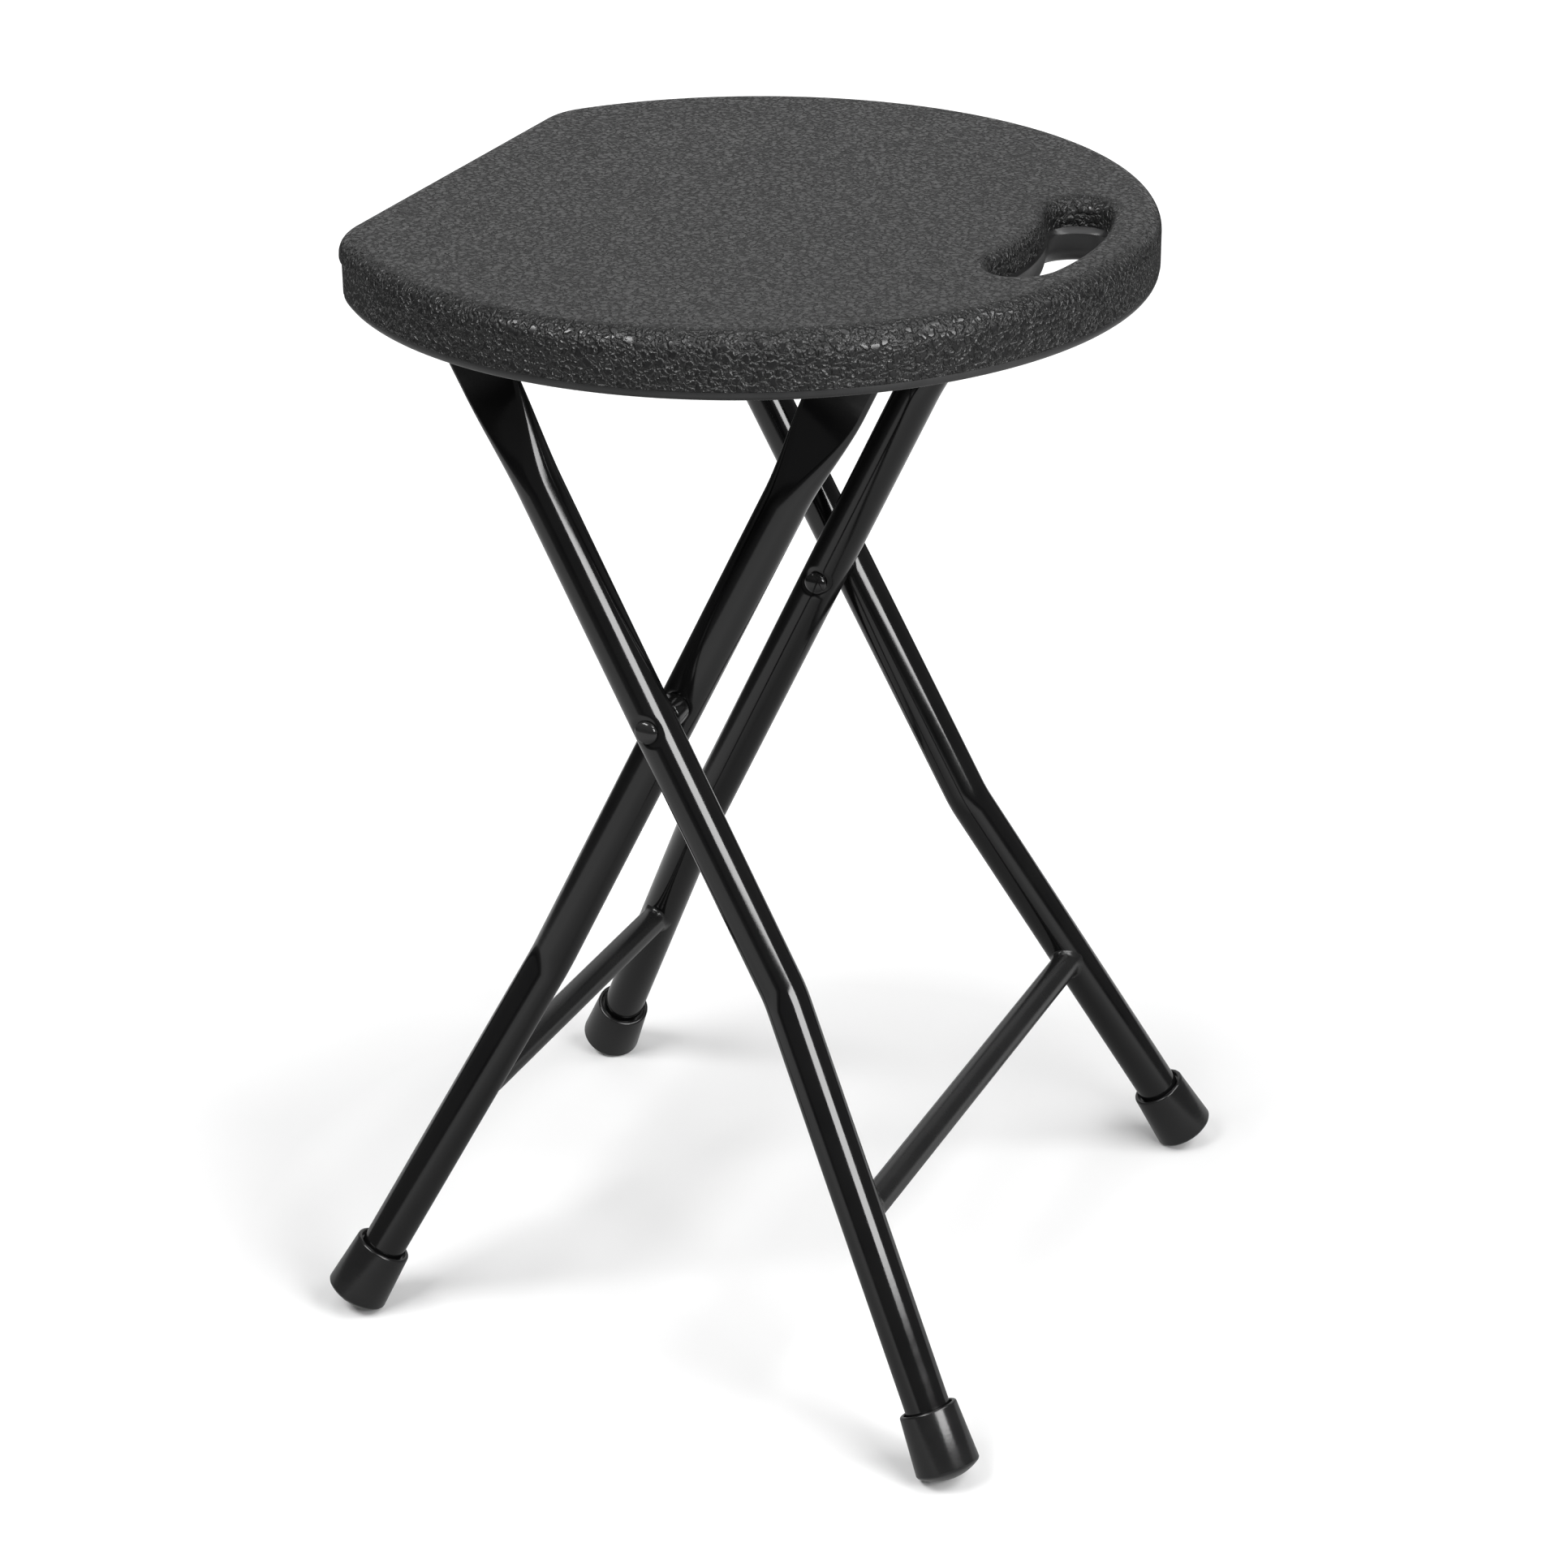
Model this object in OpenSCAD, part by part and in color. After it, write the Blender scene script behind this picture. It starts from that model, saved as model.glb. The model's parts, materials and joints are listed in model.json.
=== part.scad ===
// Folding camp stool with a hollow blow-moulded seat and crossed steel tube legs.
// Millimetres, +Z up. The floor is z = 0 and the origin is under the middle of the stool.
// The outer frame has its top at -X and its feet at +X, and the inner frame is the other way round.
// The seat hinges on the outer frame's top rod and rests on the inner frame's top rod.

/* [Overall] */
// Height of the seat's top face above the floor
seat_h = 460; // [430:1:550]
// Height of the leg pivot above the floor
pivot_h = 279; // [230:1:330]
// Hinge rod to pivot, measured along X
hinge_x = 74.7; // [62:0.1:90]
// Rest rod to pivot, measured along X
rest_x = 68.9; // [57:0.1:83]

/* [Seat] */
// Radius of the round rim
seat_r = 159; // [145:1:190]
// Middle of the round rim from the pivot, along X
seat_dx = -1.3; // [-5:0.1:5]
// Flat edge from the middle of the round rim
flat_x = 130.5; // [118:0.5:150]
// Depth of the seat's side
seat_t = 25; // [22:0.5:32]
// Radius of the top edge
top_edge_r = 8; // [4:0.5:10]
// Radius of the bottom edge
bottom_edge_r = 3; // [1.5:0.5:4]
// Height of the lip along the flat edge
lip_h = 9.5; // [8.5:0.5:14]
// Depth that the flat wall is set back under the lip
lip_step = 3.5; // [1:0.5:6]
// Wall thickness of the moulding
seat_wall = 3; // [2:0.25:4]
// Pitch of the tack-off cups under the seat
cup_pitch = 40; // [34:1:60]
// Mouth diameter of a tack-off cup
cup_mouth_d = 20; // [14:0.5:24]
// Top diameter of a tack-off cup
cup_top_d = 9; // [6:0.5:12]
// Diameter of the blow needle's hole
vent_d = 5; // [3:0.5:6]

/* [Handle slot] */
// Width of the slot between its lips
slot_w = 25; // [18:0.5:27]
// Middle of the slot from the middle of the round rim
slot_r = 127.3; // [110:0.1:135]
// Half of the slot's arc, from its middle to an end's centre, in degrees
slot_half = 16; // [12:0.5:24]
// Turn of the slot's middle from the X axis, in degrees
slot_turn = 2.5; // [-3:0.5:3]
// Radius of the slot's lips
slot_lip = 5.5; // [2:0.5:7]

/* [Tubes] */
// Leg tube diameter
tube_d = 18; // [15:0.5:21.5]
// Wall thickness of all tubes
tube_wall = 1.5; // [1:0.1:2]
// Centre radius of the bend in each leg
bend_r = 45; // [30:1:80]
// Rung tube diameter
rung_d = 12; // [9:0.5:15]
// Rung below the pivot, along the frame
rung_drop = 207.5; // [180:0.5:235]
// Width of a flattened leg end
tab_w = 25; // [20:0.5:25]
// Thickness of a flattened leg end
tab_t = 3.6; // [3:0.1:5]
// Rod to where the leg end is fully flat
tab_flat = 13; // [10:1:20]
// Length over which the tube goes from round to flat
tab_blend = 47; // [30:1:60]

/* [Outer frame] */
// Leg axis from the middle plane at the pivot
outer_y = 94.9; // [88:0.1:114]
// Lean of the upper leg out of vertical, in degrees
outer_lean = 1.4; // [0:0.1:3]
// Lean of the lower leg out of vertical, in degrees
outer_splay = 13.7; // [8:0.1:17]
// Bend below the pivot, along the frame
outer_bend = 118.4; // [98:0.1:142]

/* [Inner frame] */
// Lean of the upper leg out of vertical, in degrees
inner_lean = 1.8; // [0:0.1:3]
// Lean of the lower leg out of vertical, in degrees
inner_splay = 16.2; // [10:0.1:17]
// Bend below the pivot, along the frame
inner_bend = 136.7; // [113:0.1:150]

/* [Pivot] */
// Clear distance between the crossing tubes
leg_gap = 7.6; // [4:0.1:12]
// Rivet shank diameter
rivet_d = 5; // [4:0.5:6]
// Rivet head diameter
rivet_head_d = 9.5; // [7:0.5:10]
// Rivet head height
rivet_head_h = 2.4; // [1.5:0.1:3.5]
// Spacer outside diameter
spacer_d = 13; // [10:0.5:15]
// Depth of the dent under each head and each spacer end
dent_depth = 1; // [0.5:0.1:1.5]
// Room round a head or a spacer in its dent
dent_room = 1; // [0.5:0.1:2]

/* [Hinge and rest] */
// Diameter of the hinge rod and the rest rod
rod_d = 8; // [6:0.5:9.5]
// Rods below the seat's underside
rod_drop = 14; // [13.5:0.5:18]
// Push-on rod cap diameter
rod_cap_d = 14; // [12:0.5:16]
// Push-on rod cap height
rod_cap_h = 5; // [4:0.5:7]
// Rod cap's end wall
rod_cap_wall = 1.5; // [1:0.5:2]
// Thickness of bracket plates, ears and clip feet
plate_t = 2; // [1.5:0.1:2.5]
// Radius of a bracket's ear round the rod
ear_r = 7; // [6:0.5:8]
// Width of a bracket's plate, along Y
bracket_w = 34; // [32:1:40]
// Bracket's plate past the rod, towards the seat's middle
bracket_long = 34; // [30:1:40]
// Bracket's plate past the rod, towards the flat edge
bracket_short = 9; // [7:0.5:10]
// Rest clip from the middle plane
clip_y = 42; // [36:1:46]
// Width of a rest clip, along Y
clip_w = 18; // [14:1:20]
// Length of a rest clip's foot, along X
clip_foot = 48; // [44:1:56]
// Wall of a rest clip round the rod
clip_wall = 4; // [3:0.5:5]
// Reach of a rest clip's outer side below the rod
clip_lip = 5; // [3:0.5:8]

/* [Screws] */
// Screw thread diameter
screw_d = 4; // [3:0.5:5]
// Screw length under the head
screw_l = 14; // [10:1:16]
// Screw head diameter
screw_head_d = 8; // [7:0.5:9]
// Screw head height
screw_head_h = 2.4; // [1.5:0.1:3]
// Width of the cross in a screw head
drive_w = 1; // [0.8:0.1:1.2]
// Screw from the edge of the plate that it holds
screw_edge = 5; // [4.5:0.5:6]

/* [Foot caps] */
// Wall of a cap at its mouth
cap_wall = 2.7; // [2:0.1:4]
// Growth of the cap's radius from mouth to base
cap_flare = 1.3; // [0:0.1:2]
// Length of the cap's side
cap_side = 24.5; // [18:0.5:32]
// Height of the domed base
cap_dome = 4.5; // [4:0.5:7]
// Rubber between the tube's end and the domed base
cap_floor = 2; // [1:0.5:4]
// Width of the relief ring at the mouth
relief_w = 1; // [0.5:0.1:1.5]
// Depth of the relief ring at the mouth
relief_depth = 1.5; // [0.5:0.1:3]

/* [Clearances] */
// Radial play of a rod or rivet that turns in its bore
run_play = 0.05; // [0.02:0.01:0.1]
// Gap between faces that slide past each other
face_gap = 0.3; // [0.2:0.05:0.5]
// Gap between the rest rod and the clips that lie on it
clip_gap = 0.3; // [0.2:0.05:0.5]

/* [Hidden] */
$fn = 64;
rim_fn = 128;
hull_fn = 32;
// Where one stretch of a leg runs into the next it is this much thinner, and reaches this far inside.
seam_inset = 0.05;
seam_reach = 1.5;
eps = 0.01;
front = -1;
rear = 1;
tube_r = tube_d / 2;
rod_r = rod_d / 2;
seat_bottom = seat_h - seat_t;
rod_z = seat_bottom - rod_drop;
rod_rise = rod_z - pivot_h;

// A frame is a list of its own sizes. Its tilt follows from where its rod and the pivot are.
inner_y = outer_y - tube_d - leg_gap;
hinge_stack = plate_t + 2 * face_gap;
outer = [outer_y, outer_lean, outer_splay, outer_bend, atan(hinge_x / rod_rise), hinge_stack];
inner = [inner_y, inner_lean, inner_splay, inner_bend, atan(rest_x / rod_rise), 0];
function pivot_y(f) = f[0];
function lean(f) = f[1];
function splay(f) = f[2];
function bend_l(f) = f[3];
function tilt(f) = f[4];
function cap_stack(f) = f[5];

// Places along one leg, measured in the frame's own plane.
function rod_l(f) = rod_rise / cos(tilt(f));
function bend_y(f) = pivot_y(f) + bend_l(f) * tan(lean(f));
function upper_y(f, up) = pivot_y(f) - up * tan(lean(f));
function round_top(f) = rod_l(f) - tab_flat - tab_blend;
function tab_y(f) = upper_y(f, rod_l(f) - tab_flat);
function bend_run(f) = bend_r * tan((splay(f) - lean(f)) / 2);
function rung_y(f) = bend_y(f) + (rung_drop - bend_l(f)) * tan(splay(f));

// The sphere of each cap's base touches the floor, which fixes the length of each lower leg.
cap_mouth_r = tube_r + cap_wall;
cap_base_r = cap_mouth_r + cap_flare;
dome_r = (pow(cap_base_r, 2) + pow(cap_dome, 2)) / (2 * cap_dome);
function dome_run(f) = ((pivot_h - dome_r) / cos(tilt(f)) - bend_l(f)) / cos(splay(f));
function base_run(f) = dome_run(f) + dome_r - cap_dome;
function tube_run(f) = base_run(f) - cap_floor;

// How far the seat and the caps reach from the pivot along X, and the shift that centres the stool.
function axis_x(f) = cos(splay(f)) * sin(tilt(f));
function foot_x(f) = bend_l(f) * sin(tilt(f)) + base_run(f) * axis_x(f)
    + cap_base_r * sqrt(1 - pow(axis_x(f), 2));
reach_plus = max(seat_dx + seat_r, foot_x(outer));
reach_minus = max(flat_x - seat_dx, foot_x(inner));
pivot_x = (reach_minus - reach_plus) / 2;
seat_x = pivot_x + seat_dx;
hinge_at = pivot_x - hinge_x;
rest_at = pivot_x + rest_x;

// Pivot stack, from the middle plane outwards.
inner_head_y = inner_y - tube_r + dent_depth - face_gap;
inner_dent_y = inner_y + tube_r - dent_depth;
outer_dent_y = outer_y - tube_r + dent_depth;
outer_head_y = outer_y + tube_r - dent_depth;
head_dent_d = rivet_head_d + 2 * dent_room;
spacer_dent_d = spacer_d + 2 * dent_room;

// A rod reaches through both flattened ends and carries a cap outside each of them.
function cap_in(f) = tab_y(f) + tab_t / 2 + cap_stack(f);
function rod_half(f) = cap_in(f) + rod_cap_h - rod_cap_wall;
ear_in = tab_t / 2 + face_gap;

// The clip's mouth points the way that the rest rod leaves when the seat lifts.
clip_exit = 27;
clip_bore_r = rod_r + clip_gap;
clip_mouth_r = rod_r + clip_gap / 2;
clip_body = clip_bore_r + clip_wall;

// Screw places, from a bracket's rod and from a clip's middle.
bracket_screw_y = bracket_w / 2 - screw_edge;
bracket_offsets = [for (x = [0, bracket_long - screw_edge], way = [-1, 1]) [x, way * bracket_screw_y]];
clip_offsets = [for (way = [-1, 1]) way * (clip_foot / 2 - screw_edge)];
boss_d = screw_d + 2 * seat_wall;
bracket_screw_at = [for (side = [front, rear], p = bracket_offsets)
    [hinge_at + p.x, side * tab_y(outer) + p.y]];
clip_screw_at = [for (side = [front, rear], x = clip_offsets) [rest_at + x, side * clip_y]];

// Tack-off cups fill a staggered grid wherever nothing else needs the space.
// Each keeps a margin to its neighbours, and past the slot's ends it keeps an angle from the slot.
cup_margin = 4;
slot_end_turn = 16;
cup_height = seat_t - seat_wall;
cup_slope = (cup_mouth_d - cup_top_d) / 2 / cup_height;
cup_room = cup_mouth_d / 2 + cup_margin;
rim_room = cup_room + top_edge_r;
cup_rows = ceil(seat_r / (cup_pitch * sin(60)));
cup_columns = ceil(seat_r / cup_pitch) + 1;
function in_box(p, lo, hi) = p.x > lo.x && p.x < hi.x && p.y > lo.y && p.y < hi.y;
function near_bracket(p) = in_box([p.x, abs(p.y)],
    [hinge_at - bracket_short - cup_room, tab_y(outer) - bracket_w / 2 - cup_room],
    [hinge_at + bracket_long + cup_room, tab_y(outer) + bracket_w / 2 + cup_room]);
function near_clip(p) = in_box([p.x, abs(p.y)],
    [rest_at - clip_foot / 2 - cup_room, clip_y - clip_w / 2 - cup_room],
    [rest_at + clip_foot / 2 + cup_room, clip_y + clip_w / 2 + cup_room]);
function near_slot(p) = p.x > seat_x
    && norm([p.x - seat_x, p.y]) > slot_r - slot_w / 2 - slot_lip - cup_room
    && abs(atan2(p.y, p.x - seat_x)) < slot_half + slot_end_turn;
function near_rim(p) = norm([p.x - seat_x, p.y]) > seat_r - rim_room
    || p.x < seat_x - flat_x + lip_step + rim_room;
cup_grid = [for (row = [-cup_rows:cup_rows], column = [-cup_columns:cup_columns])
    [seat_x + (column + abs(row % 2) / 2) * cup_pitch, row * cup_pitch * sin(60)]];
cups = [for (p = cup_grid) if (!near_rim(p) && !near_bracket(p) && !near_clip(p) && !near_slot(p)) p];
vent_at = [seat_x - cup_pitch / 2, 0];

seat_plastic = [0.22, 0.22, 0.23];
clip_plastic = [0.12, 0.12, 0.13];
black_steel = [0.08, 0.08, 0.09];
bright_steel = [0.62, 0.63, 0.65];
rubber = [0.15, 0.15, 0.15];

// Puts a frame's own plane, with the pivot at its origin, where it stands. Its top leans to the given side.
module at_pivot(f, toward) {
    translate([pivot_x, 0, pivot_h]) rotate([0, toward * tilt(f), 0]) children();
}

module outer_place(side = rear) {
    at_pivot(outer, -1) on_side(side) children();
}

module inner_place(side = rear) {
    at_pivot(inner, 1) on_side(side) children();
}

module on_side(side) {
    mirror([0, side == front ? 1 : 0, 0]) children();
}

module along_y(from, to, d) {
    translate([0, from, 0]) rotate([-90, 0, 0]) cylinder(d = d, h = to - from);
}

// The round stretches of a rear leg as a bar of diameter d: straight, bent, straight.
module leg_bar(f, d, past = 0) {
    upper = (round_top(f) + bend_l(f)) / cos(lean(f));
    seam_turn = atan(seam_reach / bend_r);
    translate([0, bend_y(f), -bend_l(f)]) {
        rotate([lean(f), 0, 0]) {
            translate([0, 0, bend_run(f)]) cylinder(d = d, h = upper - bend_run(f));
            translate([0, bend_r, bend_run(f)]) rotate([90, 0, 90]) rotate([0, 0, 180 - seam_turn])
                rotate_extrude(angle = splay(f) - lean(f) + 2 * seam_turn)
                    translate([bend_r, 0]) circle(d = d - 2 * seam_inset);
        }
        rotate([splay(f), 0, 0])
            translate([0, 0, -tube_run(f) - past]) cylinder(d = d, h = tube_run(f) + past - bend_run(f));
    }
}

// A leg's pressed end, with the hole that the rod goes through.
module leg_tab(f) {
    flat_l = rod_l(f) - tab_flat;
    difference() {
        union() {
            hull() {
                translate([0, upper_y(f, round_top(f)), round_top(f)]) rotate([lean(f), 0, 0])
                    translate([0, 0, -seam_reach]) cylinder(r = tube_r - seam_inset, h = seam_reach, $fn = hull_fn);
                translate([-tab_w / 2, tab_y(f) - tab_t / 2, flat_l - eps]) cube([tab_w, tab_t, eps]);
            }
            translate([-tab_w / 2, tab_y(f) - tab_t / 2, flat_l - eps]) cube([tab_w, tab_t, tab_flat + eps]);
            translate([0, 0, rod_l(f)]) along_y(tab_y(f) - tab_t / 2, tab_y(f) + tab_t / 2, tab_w);
        }
        translate([0, 0, rod_l(f)]) along_y(tab_y(f) - tab_t, tab_y(f) + tab_t, rod_d);
    }
}

// What stays solid inside a leg round the rivet: the floor of the dent on each side.
module dent_floors(f, d_out, d_in) {
    out = pivot_y(f) + tube_r;
    in = pivot_y(f) - tube_r;
    along_y(out - dent_depth - tube_wall, out + 1, d_out + 2 * tube_wall);
    along_y(in - 1, in + dent_depth + tube_wall, d_in + 2 * tube_wall);
}

// A rear leg: a tube with a dent on each side of the pivot, a bore through both and a pressed end.
module leg(f, d_out, d_in, bore) {
    out = pivot_y(f) + tube_r;
    in = pivot_y(f) - tube_r;
    difference() {
        union() {
            difference() {
                leg_bar(f, tube_d);
                difference() {
                    leg_bar(f, tube_d - 2 * tube_wall, 1);
                    dent_floors(f, d_out, d_in);
                }
            }
            leg_tab(f);
        }
        along_y(out - dent_depth, out + 1, d_out);
        along_y(in - 1, in + dent_depth, d_in);
        along_y(in - 1, out + 1, bore);
    }
}

module outer_leg(side) {
    color(black_steel) outer_place(side) leg(outer, head_dent_d, spacer_dent_d, rivet_d);
}

module inner_leg(side) {
    color(black_steel) inner_place(side) leg(inner, spacer_dent_d, head_dent_d, rivet_d + 2 * run_play);
}

// Cross tube between the lower legs, its ends cut to sit on them.
module rung(f) {
    translate([0, 0, -rung_drop]) difference() {
        along_y(-rung_y(f), rung_y(f), rung_d);
        along_y(-rung_y(f) - 1, rung_y(f) + 1, rung_d - 2 * tube_wall);
        for (side = [front, rear]) on_side(side) translate([0, rung_y(f), 0]) rotate([splay(f), 0, 0])
            translate([0, 0, -tube_d]) cylinder(d = tube_d, h = 2 * tube_d);
    }
}

module outer_rung() {
    color(black_steel) outer_place() rung(outer);
}

module inner_rung() {
    color(black_steel) inner_place() rung(inner);
}

module rod(f) {
    translate([0, 0, rod_l(f)]) along_y(-rod_half(f), rod_half(f), rod_d);
}

module hinge_rod() {
    color(bright_steel) outer_place() rod(outer);
}

module rest_rod() {
    color(bright_steel) inner_place() rod(inner);
}

// Cap pushed over a rod's end.
module rod_cap(f) {
    translate([0, 0, rod_l(f)]) difference() {
        along_y(cap_in(f), cap_in(f) + rod_cap_h, rod_cap_d);
        along_y(cap_in(f) - 1, rod_half(f), rod_d);
    }
}

module hinge_cap(side) {
    color(black_steel) outer_place(side) rod_cap(outer);
}

module rest_cap(side) {
    color(black_steel) inner_place(side) rod_cap(inner);
}

// Rubber cap over a leg's lower end, with a domed base.
module foot_cap(f) {
    mouth = base_run(f) - cap_side;
    translate([0, bend_y(f), -bend_l(f)]) rotate([splay(f), 0, 0]) mirror([0, 0, 1]) difference() {
        union() {
            translate([0, 0, mouth]) cylinder(r1 = cap_mouth_r, r2 = cap_base_r, h = cap_side);
            intersection() {
                translate([0, 0, dome_run(f)]) sphere(r = dome_r);
                translate([0, 0, base_run(f) - eps]) cylinder(r = cap_base_r, h = cap_dome + 1);
            }
        }
        translate([0, 0, mouth - 1]) cylinder(d = tube_d, h = cap_side - cap_floor + 1);
        translate([0, 0, mouth - 1]) cylinder(d = tube_d + 2 * relief_w, h = relief_depth + 1);
    }
}

module outer_foot(side) {
    color(rubber) outer_place(side) foot_cap(outer);
}

module inner_foot(side) {
    color(rubber) inner_place(side) foot_cap(inner);
}

// Shallow domed head whose flat side is at y and whose crown points the given way.
module rivet_head(y, way) {
    ball_r = (pow(rivet_head_d / 2, 2) + pow(rivet_head_h, 2)) / (2 * rivet_head_h);
    crown = y + way * rivet_head_h;
    intersection() {
        translate([0, crown - way * ball_r, 0]) sphere(r = ball_r);
        along_y(min(y, crown), max(y, crown), rivet_head_d);
    }
}

module pivot_rivet(side) {
    color(black_steel) translate([pivot_x, 0, pivot_h]) on_side(side) {
        along_y(inner_head_y, outer_head_y, rivet_d);
        rivet_head(outer_head_y, 1);
        rivet_head(inner_head_y, -1);
    }
}

module pivot_spacer(side) {
    color(clip_plastic) translate([pivot_x, 0, pivot_h]) on_side(side) difference() {
        along_y(inner_dent_y + face_gap, outer_dent_y, spacer_d);
        along_y(inner_dent_y, outer_dent_y + 1, rivet_d);
    }
}

// What rounding takes off a corner that points to +X and +Y and has its tip at the origin.
module corner_waste(r) {
    translate([-r, -r]) difference() {
        square(2 * r);
        circle(r = r);
    }
}

// Section of the seat from its middle out to a side, with the side's two edges rounded.
module side_section(reach, low, high, low_r, high_r) {
    difference() {
        translate([0, low]) square([reach, high - low]);
        translate([reach, high]) corner_waste(high_r);
        translate([reach, low]) mirror([0, 1]) corner_waste(low_r);
    }
}

// The round seat without its flat edge, made smaller all round by inset.
module round_body(inset) {
    translate([seat_x, 0, 0]) rotate_extrude($fn = rim_fn)
        side_section(seat_r - inset, seat_bottom + inset, seat_h - inset,
            max(bottom_edge_r - inset, eps), max(top_edge_r - inset, eps));
}

// The seat's section along X: the flat edge's lip over a wall that is set back.
module flat_slab() {
    lip_z = seat_h - lip_h;
    rotate([90, 0, 0]) translate([seat_x, 0, -seat_r - 1]) linear_extrude(2 * seat_r + 2) mirror([1, 0]) {
        translate([-seat_r - 1, seat_bottom]) square([seat_r + 1 + eps, seat_t]);
        side_section(flat_x - lip_step, seat_bottom, seat_h, bottom_edge_r, eps);
        side_section(flat_x, lip_z, seat_h, eps, top_edge_r);
    }
}

// Half of the slot's section, from its middle out, with round lips at both faces.
module slot_section() {
    half = slot_w / 2;
    translate([0, seat_bottom - 1]) square([half, seat_t + 2]);
    for (face = [0, 1]) translate([0, seat_bottom + face * seat_t]) mirror([0, face]) difference() {
        translate([half - eps, -1]) square([slot_lip + eps, slot_lip + 1]);
        translate([half + slot_lip, slot_lip]) circle(r = slot_lip);
        translate([half + slot_lip, -1]) square([1, slot_lip + 1]);
    }
}

// The curved slot as it is cut out of the seat.
module slot_cut() {
    translate([seat_x, 0, 0]) rotate(slot_turn) {
        rotate(-slot_half) rotate_extrude(angle = 2 * slot_half, $fn = rim_fn) translate([slot_r, 0])
            for (way = [0, 1]) mirror([way, 0]) slot_section();
        for (end = [-1, 1]) rotate(end * slot_half) translate([slot_r, 0, 0]) rotate_extrude() slot_section();
    }
}

// Space that the slot and its walls take out of the hollow.
module slot_block() {
    half = slot_w / 2 + seat_wall;
    translate([seat_x, 0, seat_bottom]) rotate(slot_turn) {
        rotate(-slot_half) rotate_extrude(angle = 2 * slot_half, $fn = rim_fn)
            translate([slot_r - half, 0]) square([2 * half, seat_t]);
        for (end = [-1, 1]) rotate(end * slot_half) translate([slot_r, 0, 0]) cylinder(r = half, h = seat_t);
    }
}

// A tapered cup from the seat's underside up to its top wall, made larger all round by grow.
module cup(grow) {
    h = cup_height + grow;
    r = cup_mouth_d / 2 + grow;
    translate([0, 0, seat_bottom - eps]) cylinder(r1 = r, r2 = r - cup_slope * h, h = h);
}

module seat_hollow() {
    difference() {
        intersection() {
            round_body(seat_wall);
            translate([seat_x - flat_x + lip_step + seat_wall, -seat_r, seat_bottom])
                cube([flat_x + seat_r, 2 * seat_r, seat_t]);
        }
        slot_block();
        for (p = cups) translate([p.x, p.y, 0]) cup(seat_wall);
        for (p = concat(bracket_screw_at, clip_screw_at)) translate([p.x, p.y, seat_bottom])
            cylinder(d = boss_d, h = seat_t);
    }
}

module seat_shell() {
    color(seat_plastic) difference() {
        intersection() {
            round_body(0);
            flat_slab();
        }
        seat_hollow();
        slot_cut();
        for (p = cups) translate([p.x, p.y, 0]) cup(0);
        for (p = concat(bracket_screw_at, clip_screw_at)) translate([p.x, p.y, seat_bottom - 1])
            cylinder(d = screw_d, h = screw_l - plate_t + 1);
        translate([vent_at.x, vent_at.y, seat_bottom - 1]) cylinder(d = vent_d, h = seat_wall + 2);
    }
}

// A plate under the seat with two ears that hold the hinge rod on either side of a leg's end.
module hinge_bracket(side) {
    slot_end = tab_w / 2 + 2;
    color(black_steel) on_side(side) translate([hinge_at, tab_y(outer), 0]) difference() {
        union() {
            translate([-bracket_short, -bracket_w / 2, seat_bottom - plate_t])
                cube([bracket_short + bracket_long, bracket_w, plate_t]);
            for (way = [-1, 1]) translate([0, way * (ear_in + plate_t / 2), rod_z]) {
                translate([-ear_r, -plate_t / 2, 0]) cube([2 * ear_r, plate_t, rod_drop - plate_t / 2]);
                along_y(-plate_t / 2, plate_t / 2, 2 * ear_r);
            }
        }
        translate([-bracket_short - 1, -ear_in, seat_bottom - plate_t - 1])
            cube([bracket_short + 1 + slot_end, 2 * ear_in, plate_t + 2]);
        translate([0, 0, rod_z]) along_y(-bracket_w, bracket_w, rod_d + 2 * run_play);
        for (p = bracket_offsets) translate([p.x, p.y, seat_bottom - plate_t - 1])
            cylinder(d = screw_d, h = plate_t + 2);
    }
}

// A saddle under the seat that drops over the rest rod, open the way that the rod leaves it.
module rest_clip(side) {
    color(clip_plastic) on_side(side) translate([rest_at, clip_y, 0]) difference() {
        union() {
            translate([-clip_foot / 2, -clip_w / 2, seat_bottom - plate_t]) cube([clip_foot, clip_w, plate_t]);
            translate([-clip_body, -clip_w / 2, rod_z]) cube([2 * clip_body, clip_w, rod_drop]);
            translate([clip_mouth_r, -clip_w / 2, rod_z - clip_lip])
                cube([clip_body - clip_mouth_r, clip_w, clip_lip + 1]);
        }
        translate([0, 0, rod_z]) {
            along_y(-clip_w, clip_w, 2 * clip_bore_r);
            for (turn = [0, clip_exit]) rotate([0, turn, 0]) translate([-clip_mouth_r, -clip_w, -rod_drop])
                cube([2 * clip_mouth_r, 2 * clip_w, rod_drop]);
        }
        for (x = clip_offsets) translate([x, 0, seat_bottom - plate_t - 1])
            cylinder(d = screw_d, h = plate_t + 2);
    }
}

// Pan-head screw with a cross, head down, under a plate.
module screw() {
    translate([0, 0, seat_bottom - plate_t]) {
        cylinder(d = screw_d, h = screw_l);
        translate([0, 0, -screw_head_h]) difference() {
            cylinder(d = screw_head_d, h = screw_head_h);
            for (turn = [0, 90]) rotate(turn) translate([-screw_d / 2, -drive_w / 2, -1])
                cube([screw_d, drive_w, 1 + screw_head_h / 2]);
        }
    }
}

module bracket_screws() {
    color(bright_steel) for (p = bracket_screw_at) translate([p.x, p.y, 0]) screw();
}

module clip_screws() {
    color(bright_steel) for (p = clip_screw_at) translate([p.x, p.y, 0]) screw();
}

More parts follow.
